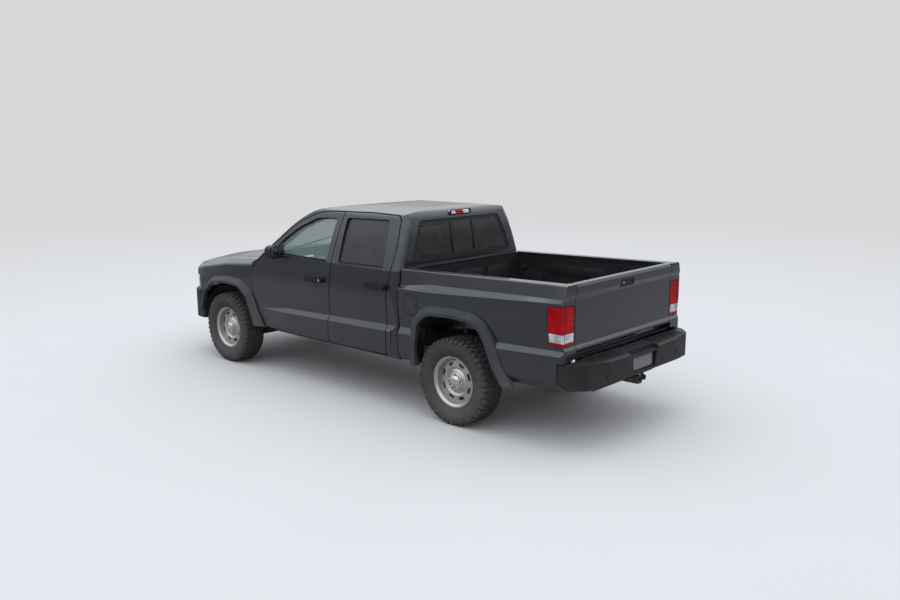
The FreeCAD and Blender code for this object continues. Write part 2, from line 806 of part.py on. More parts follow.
def fuel_outline(by):
    w, h = FUEL_W / 2 + by, FUEL_H / 2 + by
    corner_r = FUEL_CORNER + by
    return [
        (FUEL_X - w, FUEL_Z - h, corner_r),
        (FUEL_X + w, FUEL_Z - h, corner_r),
        (FUEL_X + w, FUEL_Z + h, corner_r),
        (FUEL_X - w, FUEL_Z + h, corner_r),
    ]


def make_bed():
    outer = bed_outer()
    wall_x = BED_FRONT - BED_WALL_FRONT
    floor_low = BED_FLOOR_Z - BED_FLOOR_T
    side_y = BED_WALL_Y
    house_top = side_prism(grown(REAR_ARCH, WHEELHOUSE_WALL), WHEELHOUSE_Y, 1000)
    house_top = house_top.common(box(BED_REAR, BED_FRONT, 0, 1000, floor_low, 1200))
    well = side_prism(REAR_ARCH, WHEELHOUSE_Y + WHEELHOUSE_WALL, 1000)

    side = outer.common(box(BED_REAR - 50, BED_FRONT, side_y, 1000, 300, 1500))
    side = side.cut(box(BED_OPEN_REAR, BED_FRONT, 0, SILL_Y - SKIRT, 300, floor_low))
    side = side.cut(box(BED_REAR - 50, BED_OPEN_REAR, 0, SILL_Y - SKIRT, 300, SILL_TOP_Z))
    post = outer.common(box(BED_REAR - 50, BED_OPEN_REAR, GATE_Y + GATE_GAP, side_y + 1, SILL_TOP_Z, 1500))
    side = side.fuse(post).cut(well)
    side = side.cut(box(BED_REAR - 50, BUMPER_SIDE_X + 6, 0, 1000, 300, BUMPER_TOP_Z + 8))
    lamp_zone = plan_prism(LAMP_PLAN, LAMP_LOW_Z, LAMP_HIGH_Z)
    lamp_zone = lamp_zone.common(side_prism(LAMP_SIDE, 600, 1000))
    lamp_zone = lamp_zone.common(cross_prism(LAMP_REAR, BED_REAR - 80, LAMP_FRONT_X + 20))
    lamp = outer.common(lamp_zone)
    side = side.cut(lamp_zone)
    pin = rod(V(GATE_HINGE_X, 0, GATE_HINGE_Z), V(GATE_HINGE_X, GATE_Y + 34, GATE_HINGE_Z), TRUNNION_R + SHAFT_CLEAR)
    side = side.cut(pin)
    right = mirrored(side)

    # the filler pocket, with the lid's hinge pin, is on the left side only
    pocket = side_prism(fuel_outline(FUEL_GAP), side_y + 60, 1000)
    left = side.cut(pocket)
    reach = FUEL_BARREL + 2
    left = left.cut(box(
        FUEL_X, FUEL_HINGE_X + 8, FUEL_HINGE_Y - FUEL_NECK - 5, FUEL_HINGE_Y + FUEL_BARREL_R + 0.5,
        FUEL_Z - reach, FUEL_Z + reach,
    ))
    reach = FUEL_BARREL + 8
    pin = rod(V(FUEL_HINGE_X, FUEL_HINGE_Y, FUEL_Z - reach), V(FUEL_HINGE_X, FUEL_HINGE_Y, FUEL_Z + reach), FUEL_PIN_R)
    left = left.fuse(pin)
    # the lid keeps the body's own curve
    inner = outer.translated(V(0, -FUEL_LID, 0))
    lid = outer.common(side_prism(fuel_outline(0), side_y + 60, 1000)).cut(inner)
    # gooseneck from the lid's back round the pocket's edge to the barrel
    low, high = FUEL_Z - FUEL_BARREL, FUEL_Z + FUEL_BARREL
    foot_x = FUEL_X + FUEL_W / 2 - 8
    neck_y, half = FUEL_HINGE_Y - FUEL_NECK, FUEL_NECK_T / 2
    ear = rod(V(FUEL_HINGE_X, FUEL_HINGE_Y, low), V(FUEL_HINGE_X, FUEL_HINGE_Y, high), FUEL_BARREL_R)
    ear = ear.fuse([
        box(FUEL_HINGE_X - half, FUEL_HINGE_X + half, neck_y - half, FUEL_HINGE_Y - 2, low, high),
        box(foot_x - half, FUEL_HINGE_X + half, neck_y - half, neck_y + half, low, high),
        box(foot_x - half, foot_x + half, neck_y - half, HIP_Y - 4, low, high),
    ])
    bore = rod(
        V(FUEL_HINGE_X, FUEL_HINGE_Y, FUEL_Z - 80), V(FUEL_HINGE_X, FUEL_HINGE_Y, FUEL_Z + 80),
        FUEL_PIN_R + SHAFT_CLEAR,
    )
    lid = lid.fuse(ear.common(outer)).cut(bore)

    # floor on cross sills, with a rear sill under the tailgate
    floor = box(BED_OPEN_REAR, wall_x, -side_y, side_y, floor_low, BED_FLOOR_Z)
    floor = floor.cut(house_top).cut(mirrored(house_top))
    sill_y = GATE_Y + GATE_GAP - 3
    floor = floor.fuse([
        box(BED_OPEN_REAR - 8, BED_OPEN_REAR, -sill_y, sill_y, SILL_LOW_Z, floor_low + 10),
        box(BED_REAR + 14, BED_OPEN_REAR, -sill_y, sill_y, SILL_LOW_Z, SILL_TOP_Z),
    ])
    for x, rail_top in FLOOR_SILLS:
        floor = floor.fuse(box(x - 40, x + 40, -side_y + 160, side_y - 160, floor_low - 60, floor_low))
        for y in (RAIL_MID_Y, -RAIL_MID_Y):
            floor = floor.fuse(box(x - 35, x + 35, y - 30, y + 30, rail_top, floor_low - 60))
    floor = floor.cut(side_prism(RAIL_OUTLINE, -1000, 1000))
    houses = house_top.common(box(BED_REAR, BED_FRONT, 0, side_y, floor_low, 1200)).cut(well)
    head = outer.common(box(wall_x, BED_FRONT, -side_y, side_y, floor_low - 60, 1500))
    panels = Part.makeCompound([head, houses, mirrored(houses)])
    return outer, left, right, floor.removeSplitter(), panels, lamp, lid


def make_liner():
    """Drop-in liner: one thin tray over floor, wheelhouses and walls, with raised ribs."""
    wall_x = BED_FRONT - BED_WALL_FRONT
    rear = BED_OPEN_REAR
    y = BED_WALL_Y - 0.3
    top = BED_RAIL_Z[0] - 24
    whole = box(rear, wall_x - 0.3, -y, y, BED_FLOOR_Z + 0.3, top)
    hole = box(rear - 20, wall_x - LINER_T, -y + LINER_T, y - LINER_T, BED_FLOOR_Z + LINER_T, top + 20)
    gate = box(rear - 60, rear + 2, GATE_Y - 6, 900, BED_FLOOR_Z, top + 20)
    outside = side_prism(grown(REAR_ARCH, WHEELHOUSE_WALL + 0.3), WHEELHOUSE_Y - 0.3, 1000)
    inside = side_prism(grown(REAR_ARCH, WHEELHOUSE_WALL + LINER_T), WHEELHOUSE_Y - LINER_T, 1000)
    hole = hole.cut(inside).cut(mirrored(inside))
    liner = whole.cut(outside).cut(mirrored(outside)).cut(hole).cut(gate).cut(mirrored(gate))
    count = int((WHEELHOUSE_Y - LINER_T - RIB_WIDTH) / RIB_PITCH)
    for i in range(-count, count + 1):
        middle = i * RIB_PITCH
        rib = box(
            rear + 60, wall_x - 80, middle - RIB_WIDTH / 2, middle + RIB_WIDTH / 2,
            BED_FLOOR_Z + LINER_T - 1, BED_FLOOR_Z + LINER_T + RIB_HEIGHT,
        )
        liner = liner.fuse(rib)
    return liner.removeSplitter()


# tailgate seen from the side, x, z, corner radius
GATE_TOP_Z = BED_RAIL_Z[1] + 2
GATE_OUTLINE = [
    (GATE_INNER_X, GATE_BOTTOM_Z, GATE_INNER_X - GATE_HINGE_X),
    (BED_REAR + 6, GATE_BOTTOM_Z, 10),
    (BED_REAR - 10, GATE_HINGE_Z, 6),
] + REAR_PROFILE + [
    (BED_REAR + 6, GATE_TOP_Z, 8),
    (GATE_INNER_X, GATE_TOP_Z, 6),
]


def make_tailgate():
    gate = side_prism(GATE_OUTLINE, -GATE_Y, GATE_Y)
    face = [
        (-GATE_Y, GATE_BOTTOM_Z, 10),
        (GATE_Y, GATE_BOTTOM_Z, 10),
        (GATE_Y, GATE_TOP_Z, 12),
        (-GATE_Y, GATE_TOP_Z, 12),
    ]
    gate = gate.common(cross_prism(face, BED_REAR - 50, GATE_INNER_X + 10))
    # recess round the release handle
    bezel = [(-98, 1222, 14), (98, 1222, 14), (98, 1288, 14), (-98, 1288, 14)]
    gate = gate.cut(cross_prism(bezel, BED_REAR - 50, BED_REAR + 16))
    paddle = [(-82, 1236, 10), (82, 1236, 10), (82, 1276, 10), (-82, 1276, 10)]
    gate = gate.fuse(cross_prism(paddle, BED_REAR + 4, BED_REAR + 20))
    for side in (1, -1):
        a, b = V(GATE_HINGE_X, side * (GATE_Y - 20), GATE_HINGE_Z), V(GATE_HINGE_X, side * (GATE_Y + 28), GATE_HINGE_Z)
        gate = gate.fuse(rod(a, b, TRUNNION_R))
    return gate.removeSplitter()


# rear bumper in plan, left half, x, y, corner radius
BUMPER_SIDE_X = BED_REAR + 40


def bumper_plan(half):
    return half + [(x, -y, r) for x, y, r in reversed(half)]


BUMPER_HALF = [
    (BUMPER_SIDE_X, 903, 0),
    (-2630, 895, 50),
    (-2742, 770, 70),
    (-2772, 520, 200),
    (TAIL, 240, 400),
]
BUMPER_TOP_Z = 722.0
BUMPER_LOW_Z = 520.0
BUMPER_WALL = 46.0


def make_rear_bumper():
    outer_plan = bumper_plan(BUMPER_HALF)
    shell = plan_prism(outer_plan, BUMPER_LOW_Z, BUMPER_TOP_Z)
    # in side view the ends sweep up to the body
    ends = [
        (TAIL - 10, BUMPER_LOW_Z + 30, 0),
        (TAIL + 10, BUMPER_LOW_Z, 20),
        (-2640, BUMPER_LOW_Z + 4, 60),
        (BED_REAR + 50, BUMPER_LOW_Z + 44, 0),
        (BED_REAR + 50, BUMPER_TOP_Z, 0),
        (TAIL + 20, BUMPER_TOP_Z, 14),
        (TAIL - 10, BUMPER_TOP_Z - 30, 0),
    ]
    shell = shell.common(side_prism(ends, -1000, 1000))
    inner = [(x + BUMPER_WALL, y - BUMPER_WALL, r) for x, y, r in BUMPER_HALF]
    inner[0] = (BED_REAR + 80, 903 - BUMPER_WALL, 0)
    shell = shell.cut(plan_prism(bumper_plan(inner), BUMPER_LOW_Z - 60, BUMPER_TOP_Z - 34))
    # the middle steps down over the number plate, and the plate sits in a pocket
    shell = shell.cut(plan_prism([(-2900, -238, 0), (-2900, 238, 0), (-2716, 212, 20), (-2716, -212, 20)], 688, 900))
    pocket = [(-170, 548, 12), (170, 548, 12), (190, 676, 12), (-190, 676, 12)]
    shell = shell.cut(cross_prism(pocket, TAIL - 20, TAIL + 26))
    # brackets that meet the frame's ends
    for y in (RAIL_MID_Y, -RAIL_MID_Y):
        shell = shell.cut(box(-2706, -2500, y - RAIL_W / 2, y + RAIL_W / 2, 500, 600))
        shell = shell.fuse(box(-2736, -2705, y - 34, y + 34, BUMPER_LOW_Z + 4, 600))
    keep_off = box(BED_REAR - 4, BED_REAR + 100, -845, 845, 400, BUMPER_TOP_Z + 10)
    return shell.cut(keep_off).removeSplitter()


# front body sections: x, side y, shoulder y, shoulder z, hood edge y, hood edge z, crown z
NOSE_SECTIONS = [
    (1379, 891, 882, 1126, 800, 1184, 1216),
    (1900, 900, 880, 1082, 790, 1146, 1184),
    (2350, 896, 866, 1008, 770, 1080, 1122),
    (2700, 850, 800, 940, 690, 1000, 1046),
]
NOSE_HALF = [
    (2250, 1000, 0),
    (2360, 900, 60),
    (2500, 850, 110),
    (2600, 690, 200),
    (2668, 300, 500),
]
FENDER_SKIN = 10.0
HOOD_T = 26.0
FENDER_LOW_Z = 748.0
HOOD_HALF = [
    (1392, 752, 20),
    (2470, 708, 120),
    (2590, 560, 160),
    (2640, 300, 400),
]
HOOD_REAR_X = 1436.0
HOOD_HINGE_X = 1362.0
HOOD_HINGE_Y = 690.0
HOOD_HINGE_Z = 1130.0
HOOD_ARM_T = 24.0
HOOD_PIN_R = 8.0
HOOD_FRONT_Z = 1000.0


def nose_loft(inset, low_z, crown_in):
    wires = []
    for x, side, shoulder, shoulder_z, edge, edge_z, crown in NOSE_SECTIONS:
        half = [
            (side - 34 - inset, low_z, 20),
            (side - inset, low_z + 110, 60),
            (side - inset, shoulder_z - 150, 200),
            (shoulder - inset, shoulder_z - inset * 0.5, 45),
            (edge - inset, edge_z - crown_in, 90),
            (edge / 2, crown - crown_in, 1500),
        ]
        wires.append(outline(full_section(half), cross_plane(x)))
    return loft(wires)


def plan_symmetric(half, rear_x=None):
    points = list(half) + [(x, -y, r) for x, y, r in reversed(half)]
    if rear_x is not None:
        points.append((rear_x, 0, 2000))
    return points


def make_front():
    outer = nose_loft(0, 400, 0)
    nose = plan_prism(plan_symmetric(NOSE_HALF), 300, 1500)
    nose = nose.fuse(box(1300, 2300, -1000, 1000, 300, 1500))
    outer = outer.common(nose)
    under_skin = nose_loft(FENDER_SKIN, 300, FENDER_SKIN)
    under_hood = nose_loft(FENDER_SKIN, 300, HOOD_T)
    inset_nose = plan_prism(grown(plan_symmetric(NOSE_HALF), -50), 300, 1500)
    inset_nose = inset_nose.fuse(box(1000, 2310, -1100, 1100, 300, 1500))

    hood_zone = plan_prism(plan_symmetric(HOOD_HALF, HOOD_REAR_X), HOOD_FRONT_Z - 20, 1500)
    hood_gap = plan_prism(grown(plan_symmetric(HOOD_HALF, HOOD_REAR_X), GAP - 3), 900, 1500)
    hood = outer.common(hood_zone).cut(under_hood)
    lip = outer.common(hood_zone).cut(inset_nose)
    hood = hood.fuse(lip)
    hood = hood.cut(box(1300, 2800, -900, 900, 300, HOOD_FRONT_Z))
    # arms that run back to the hinge pins
    for side in (1, -1):
        y0, y1 = sorted((side * HOOD_HINGE_Y, side * (HOOD_HINGE_Y - HOOD_ARM_T)))
        arm = side_prism(
            [(HOOD_HINGE_X - 14, HOOD_HINGE_Z - 14, 13), (HOOD_HINGE_X + 60, HOOD_HINGE_Z - 14, 13),
             (1560, HOOD_HINGE_Z + 12, 10), (1560, HOOD_HINGE_Z + 24, 5), (HOOD_HINGE_X + 50, HOOD_HINGE_Z + 14, 30),
             (HOOD_HINGE_X - 14, HOOD_HINGE_Z + 14, 13)], y0, y1)
        arm = arm.fuse(box(1480, 1560, y0, y1, HOOD_HINGE_Z, HOOD_HINGE_Z + 40))
        hood = hood.fuse(arm.common(outer))
        a, b = V(HOOD_HINGE_X, side * (HOOD_HINGE_Y - 40), HOOD_HINGE_Z), V(HOOD_HINGE_X, side * (HOOD_HINGE_Y + 20), HOOD_HINGE_Z)
        hood = hood.cut(rod(a, b, HOOD_PIN_R + SHAFT_CLEAR))

    fender = outer.cut(under_skin).common(box(1379, 2700, 0, 1000, FENDER_LOW_Z, 1500))
    tongue_body = cab_outer()
    tongue = tongue_body.cut(tongue_body.translated(V(0, -FENDER_SKIN, 0)))
    tongue_zone = box(1150, 1500, 700, 1000, 470, FENDER_LOW_Z).fuse(box(1300, 1381, 700, 1000, 700, 870))
    tongue = tongue.common(tongue_zone)
    fender = fender.cut(hood_gap).cut(box(1300, HOOD_REAR_X + 20, -10, HOOD_HALF[0][1] + GAP, 1000, 1500))
    door_gap = side_prism(FRONT_REVEAL, 700, 1000)
    fender = fender.fuse(tongue).cut(door_gap)
    fender = fender.cut(side_prism(FRONT_ARCH, 400, 1000))
    grille_zone = box(2400, 2800, -GRILLE_Y, GRILLE_Y, GRILLE_LOW_Z, GRILLE_HIGH_Z)
    lamp_zone = side_prism(HEADLAMP_SIDE, GRILLE_Y, 1000)
    lamp = outer.common(lamp_zone).cut(inset_nose)
    fender = fender.cut(lamp_zone).cut(grille_zone)
    fender = max(fender.Solids, key=lambda s: s.Volume)
    return outer, inset_nose, hood.removeSplitter(), fender, lamp, grille_zone


GRILLE_Y = 470.0
GRILLE_LOW_Z = 752.0
GRILLE_HIGH_Z = 992.0
HEADLAMP_SIDE = [(2420, 800, 20), (2420, 905, 20), (2700, 940, 0), (2700, 772, 0)]
BARS = 4
BAR_H = 16.0
GRILLE_RIM = 26.0


def make_grille(outer, inset_nose, zone):
    """Surround with level bars and a few upright posts behind them."""
    band = outer.common(zone).cut(inset_nose)
    opening = [
        (-GRILLE_Y + GRILLE_RIM, GRILLE_LOW_Z + GRILLE_RIM, 20),
        (GRILLE_Y - GRILLE_RIM, GRILLE_LOW_Z + GRILLE_RIM, 20),
        (GRILLE_Y - GRILLE_RIM, GRILLE_HIGH_Z - GRILLE_RIM, 20),
        (-GRILLE_Y + GRILLE_RIM, GRILLE_HIGH_Z - GRILLE_RIM, 20),
    ]
    grille = band.cut(cross_prism(opening, 2300, 2800))
    clear = GRILLE_HIGH_Z - GRILLE_LOW_Z - 2 * GRILLE_RIM
    for i in range(BARS):
        z = GRILLE_LOW_Z + GRILLE_RIM + clear * (i + 1) / (BARS + 1)
        bar = box(2400, 2800, -GRILLE_Y + 4, GRILLE_Y - 4, z - BAR_H / 2, z + BAR_H / 2)
        grille = grille.fuse(band.common(bar))
    for y in (-240, 0, 240):
        post = box(2400, 2800, y - 7, y + 7, GRILLE_LOW_Z + 4, GRILLE_HIGH_Z - 4)
        grille = grille.fuse(band.common(post).common(inset_nose.translated(V(36, 0, 0))))
    return grille.removeSplitter()


FRONT_BUMPER_HALF = [
    (2250, 1000, 0),
    (2350, 900, 30),
    (2520, 874, 150),
    (2680, 706, 230),
    (NOSE, 300, 700),
]
FRONT_BUMPER_LOW_Z = 425.0
FRONT_BUMPER_HIGH_Z = 742.0


def make_front_bumper():
    whole = plan_prism(plan_symmetric(FRONT_BUMPER_HALF), FRONT_BUMPER_LOW_Z, FRONT_BUMPER_HIGH_Z)
    whole = whole.common(box(2318, 3000, -894, 894, 300, 1000))
    inner_half = [(x - 42, y - 36, r) for x, y, r in FRONT_BUMPER_HALF]
    inner = plan_prism(plan_symmetric(inner_half), FRONT_BUMPER_LOW_Z - 50, FRONT_BUMPER_HIGH_Z - 40)
    inner = inner.fuse(box(2200, 2500, -850, 850, 300, FRONT_BUMPER_HIGH_Z - 40))
    side = [
        (2200, FRONT_BUMPER_HIGH_Z, 0),
        (NOSE - 90, FRONT_BUMPER_HIGH_Z, 40),
        (NOSE + 2, 662, 80),
        (NOSE - 4, 556, 80),
        (NOSE - 110, FRONT_BUMPER_LOW_Z, 50),
        (2200, FRONT_BUMPER_LOW_Z, 0),
    ]
    bumper = whole.common(side_prism(side, -1000, 1000)).cut(inner)
    bumper = bumper.cut(side_prism(FRONT_ARCH, -1000, 1000))
    intake = [(-380, 470, 30), (380, 470, 30), (430, 560, 30), (-430, 560, 30)]
    bumper = bumper.cut(cross_prism(intake, 2500, 2900))
    for y in (RAIL_MID_Y, -RAIL_MID_Y):
        bumper = bumper.cut(box(2400, 2691, y - RAIL_W / 2, y + RAIL_W / 2, 500, 660))
        bumper = bumper.fuse(box(2690, 2716, y - 30, y + 30, 562, 640))
    # the shelf over the rails is open behind the grille
    bumper = bumper.cut(box(2200, 2560, -800, 800, FRONT_BUMPER_HIGH_Z - 60, FRONT_BUMPER_HIGH_Z + 20))
    return bumper.removeSplitter()


def make_radiator():
    """Core in an open carrier that stands on the first crossmember."""
    carrier = box(2440, 2500, -600, 600, 640, 985).cut(box(2430, 2510, -520, 520, 670, 955))
    core = box(2452, 2488, -520, 520, 670, 955)
    carrier = carrier.fuse(core)
    for y in (RAIL_MID_Y, -RAIL_MID_Y):
        carrier = carrier.fuse(box(2440, 2500, y - 30, y + 30, 640, 670))
    return carrier.removeSplitter()


def make_engine():
    block = box(1470, 2080, -250, 250, 542, 1010)
    sump = box(1560, 1760, -170, 170, 440, 542)
    engine = block.fuse(sump)
    for y0, y1 in ((250, RAIL_MID_Y - RAIL_W / 2), (-RAIL_MID_Y + RAIL_W / 2, -250)):
        engine = engine.fuse(box(1700, 1780, y0, y1, 560, 620))
    return engine.removeSplitter()


# wheels: sections as radius and distance outwards from the wheel's centre plane
HALF_W = RIM_W / 2
SPIDER_D = 50.0
HUB_IN = -45.0


def turned(points, centre, outward):
    """A section (radius, distance, corner) turned about the wheel's own axis."""
    def place(r, d):
        return V(centre.x, centre.y + outward * d, centre.z + r)
    face = Part.Face(outline(points, place))
    return face.revolve(centre, V(0, 1, 0), 360)


def make_rim(centre, outward):
    seat, flange, wall = RIM_SEAT_R, RIM_FLANGE_R, RIM_WALL
    well = seat - 25
    barrel = turned([
        (flange, -HALF_W, 0), (seat, -HALF_W + 12, 0), (seat, -50, 0), (well, -34, 0), (well, 14, 0),
        (seat, 32, 0), (seat, HALF_W - 12, 0), (flange, HALF_W - 6, 0), (flange, HALF_W, 0),
        (flange - wall, HALF_W, 0), (seat - wall, HALF_W - 16, 0), (seat - wall, 36, 0),
        (well - wall, 18, 0), (well - wall, -38, 0), (seat - wall, -54, 0), (flange - wall, -HALF_W, 0),
    ], centre, outward)
    bore = SPINDLE_R + SHAFT_CLEAR
    # section from the hub out to the barrel: a raised ring round the nuts, then a dished web
    spider = turned([
        (bore, HUB_IN, 0), (HUB_R, HUB_IN, 0), (HUB_R, 10, 0), (seat - wall + 3, 27, 0),
        (seat - wall + 3, 41, 0), (170, SPIDER_D - 2, 0), (128, SPIDER_D + 4, 0),
        (106, SPIDER_D - 8, 0), (84, SPIDER_D + 6, 0), (bore, SPIDER_D + 6, 0),
    ], centre, outward)
    half, high = SLOT_LONG / 2, SLOT_HIGH / 2
    shape = [
        (-half, SLOT_R - high, 9), (half, SLOT_R - high, 9),
        (half + 7, SLOT_R + high, 9), (-half - 7, SLOT_R + high, 9),
    ]
    for i in range(SLOTS):
        slot = Part.Face(outline(shape, lambda u, v: V(centre.x + u, centre.y, centre.z + v)))
        slot = slot.extrude(V(0, outward * 90, 0))
        slot.rotate(centre, V(0, 1, 0), 360.0 * (i + 0.5) / SLOTS)
        spider = spider.cut(slot)
    top = SPIDER_D + 38
    cap = turned([
        (0, SPIDER_D - 1, 0), (bore + 6, SPIDER_D - 1, 0), (bore + 6, SPIDER_D + 6, 0), (CAP_R, SPIDER_D + 6, 0),
        (CAP_R, SPIDER_D + 16, 0), (CAP_R - 12, top - 8, 0), (CAP_R - 26, top, 0), (0, top, 0),
    ], centre, outward)
    return barrel.fuse([spider, cap]).removeSplitter()


def make_tyre(centre, outward):
    """Plain carcass: a bead, a bulged wall and a flat tread."""
    half = TYRE_W / 2
    side = [
        (RIM_SEAT_R + 0.2, HALF_W - 12.6), (RIM_FLANGE_R + 1, HALF_W - 7), (TYRE_R - 84, half),
        (TYRE_R - 22, half - 4), (TYRE_R, half - 30),
    ]
    points = [(r, d, 0) for r, d in side] + [(r, -d, 0) for r, d in reversed(side)]
    return turned(points, centre, outward)


# steering knuckles turn on upright pins between two arms
ARM_LOW_Z = 262.0
ARM_HIGH_Z = 484.0
ARM_T = 26.0
KNUCKLE_HALF = 36.0
SPINDLE_END = 34.0


def make_knuckle():
    y = KINGPIN_Y
    z0, z1 = ARM_LOW_Z + ARM_T / 2, ARM_HIGH_Z - ARM_T / 2
    body = box(X_FRONT - KNUCKLE_HALF, X_FRONT + KNUCKLE_HALF, y - 24, TRACK / 2 + HUB_IN - 8, z0 + 6, z1 - 6)
    pin = rod(V(X_FRONT, y, ARM_LOW_Z - ARM_T / 2 - 8), V(X_FRONT, y, ARM_HIGH_Z + ARM_T / 2 + 8), KINGPIN_R)
    shoulder = rod(V(X_FRONT, y, z0 + 1), V(X_FRONT, y, z1 - 1), KINGPIN_R + 8)
    spindle = rod(V(X_FRONT, y, AXLE_Z), V(X_FRONT, TRACK / 2 + SPINDLE_END, AXLE_Z), SPINDLE_R)
    arm = box(X_FRONT - 150, X_FRONT - KNUCKLE_HALF + 4, y - 20, y + 8, 330, 356)
    caliper = box(X_FRONT - 150, X_FRONT - 96, y + 2, TRACK / 2 + HUB_IN - 8, 350, 450)
    link = box(X_FRONT - 100, X_FRONT - KNUCKLE_HALF + 4, y + 2, TRACK / 2 + HUB_IN - 12, 380, 420)
    return body.fuse([pin, shoulder, spindle, arm, caliper, link]).removeSplitter()


def make_front_suspension():
    cradle = box(X_FRONT - 80, X_FRONT + 80, -450, 450, ARM_LOW_Z - ARM_T / 2, ARM_LOW_Z + 40)
    parts = []
    eye_y = KINGPIN_Y
    for z, inner_half in ((ARM_LOW_Z, 78), (ARM_HIGH_Z, 60)):
        arm = plan_prism(
            [(X_FRONT - inner_half, 440, 0), (X_FRONT - 26, eye_y, 0), (X_FRONT + 26, eye_y, 0), (X_FRONT + inner_half, 440, 0)],
            z - ARM_T / 2, z + ARM_T / 2,
        )
        eye = rod(V(X_FRONT, eye_y, z - ARM_T / 2), V(X_FRONT, eye_y, z + ARM_T / 2), KINGPIN_R + 14)
        hole = rod(V(X_FRONT, eye_y, z - ARM_T), V(X_FRONT, eye_y, z + ARM_T), KINGPIN_R + SHAFT_CLEAR)
        parts.append(arm.fuse(eye).cut(hole))
    parts.append(box(X_FRONT - 60, X_FRONT + 60, 425, 464, ARM_LOW_Z, 524.5))
    strut = rod(V(X_FRONT, 585, ARM_LOW_Z), V(X_FRONT, 548, 770), 26)
    coil = rod(V(X_FRONT, 572, 440), V(X_FRONT, 552, 715), 48)
    tower = box(X_FRONT - 60, X_FRONT + 60, 466, 610, 735, 775)
    leg = box(X_FRONT - 60, X_FRONT + 60, 465.2, 490, 560, 740)
    parts.extend([strut, coil, tower, leg])
    half_shaft = rod(V(X_FRONT, 0, AXLE_Z - 20), V(X_FRONT, 640, AXLE_Z - 20), 17)
    housing = rod(V(X_FRONT, 0, AXLE_Z - 20), V(X_FRONT, 130, AXLE_Z - 20), 95)
    left = parts[0]
    for piece in parts[1:] + [half_shaft, housing]:
        left = left.fuse(piece)
    return cradle.fuse([left, mirrored(left)]).removeSplitter()


LEAF_Y = 560.0


def make_rear_axle():
    """Solid axle with its spindles and differential, on leaf springs with shackles."""
    hub_end = TRACK / 2 + SPINDLE_END
    tube_end = TRACK / 2 + HUB_IN - 8
    axle = rod(V(X_REAR, -hub_end, AXLE_Z), V(X_REAR, hub_end, AXLE_Z), SPINDLE_R)
    axle = axle.fuse(rod(V(X_REAR, -tube_end, AXLE_Z), V(X_REAR, tube_end, AXLE_Z), 42))
    pot = rod(V(X_REAR + 10, -110, AXLE_Z), V(X_REAR + 10, 110, AXLE_Z), 125)
    pot = pot.fuse(rod(V(X_REAR, 0, AXLE_Z), V(X_REAR + 146, 0, AXLE_Z), 56))
    axle = axle.fuse(pot)
    for side in (1, -1):
        y = side * LEAF_Y
        middle = [(X_REAR + 560, 470, 30), (X_REAR + 200, 444, 300), (X_REAR - 200, 444, 300), (X_REAR - 520, 500, 30),
                  (X_REAR - 520, 530, 30), (X_REAR - 200, 476, 300), (X_REAR + 200, 476, 300), (X_REAR + 560, 500, 30)]
        axle = axle.fuse(side_prism(middle, y - 32, y + 32))
        axle = axle.fuse(box(X_REAR - 60, X_REAR + 60, y - 40, y + 40, AXLE_Z - 50, 452))
        # hangers that reach the rails' outer faces
        rail_side = side * (RAIL_MID_Y + RAIL_W / 2)
        y0, y1 = sorted((rail_side + side * 0.3, y + side * 30))
        axle = axle.fuse(box(X_REAR + 500, X_REAR + 560, y0, y1, 455, 505))
        axle = axle.fuse(box(X_REAR - 520, X_REAR - 465, y0, y1, 505, 585))
        shock = rod(V(X_REAR - 70, side * 500, AXLE_Z + 20), V(X_REAR - 190, side * 500, 640), 26)
        axle = axle.fuse(shock)
        y0, y1 = sorted((rail_side + side * 0.3, side * 510))
        axle = axle.fuse(box(X_REAR - 215, X_REAR - 165, y0, y1, 590, 640))
    return axle.removeSplitter()


def pipe(points, radius, bend):
    """Round tube along straight runs joined by arcs."""
    edges = []
    last = points[0]
    for i in range(1, len(points) - 1):
        here, after, before = points[i], points[i + 1], points[i - 1]
        a = before.sub(here).normalize()
        b = after.sub(here).normalize()
        half = math.acos(max(-1, min(1, a.dot(b)))) / 2
        reach = bend / math.tan(half)
        start = here.add(a * reach)
        end = here.add(b * reach)
        inner = here.add(a.add(b).normalize() * (bend / math.sin(half) - bend))
        edges.append(Part.makeLine(last, start))
        edges.append(Part.Arc(start, inner, end).toShape())
        last = end
    edges.append(Part.makeLine(last, points[-1]))
    path = Part.Wire(edges)
    direction = points[1].sub(points[0])
    circle = Part.Wire([Part.makeCircle(radius, points[0], direction)])
    return path.makePipeShell([circle], True, False)


def make_exhaust():
    y = -318.0
    route = [
        V(1420, y, 346), V(-900, y, 346), V(-1150, y, 520), V(-1780, y, 520), V(-2040, y - 20, 436),
        V(-2360, -720, 436), V(-2540, -756, 436),
    ]
    tube = pipe(route, 30, 90)
    silencer = rod(V(150, y, 346), V(-560, y, 346), 32)
    body = rod(V(130, -262, 310), V(-540, -262, 310), 84)
    return tube.fuse([silencer, body]).removeSplitter()


def make_fuel_tank():
    tank = plan_prism([(-740, 40, 40), (60, 40, 40), (60, 385, 40), (-740, 385, 40)], 300, 408)
    upper = plan_prism([(-700, 60, 40), (20, 60, 40), (20, 370, 40), (-700, 370, 40)], 408, 419.7)
    tank = tank.fuse(upper)
    for x in (-600, -120):
        tank = tank.fuse(box(x - 20, x + 20, 360, RAIL_MID_Y - RAIL_W / 2 - 0.2, 403, 416))
    return tank.removeSplitter()


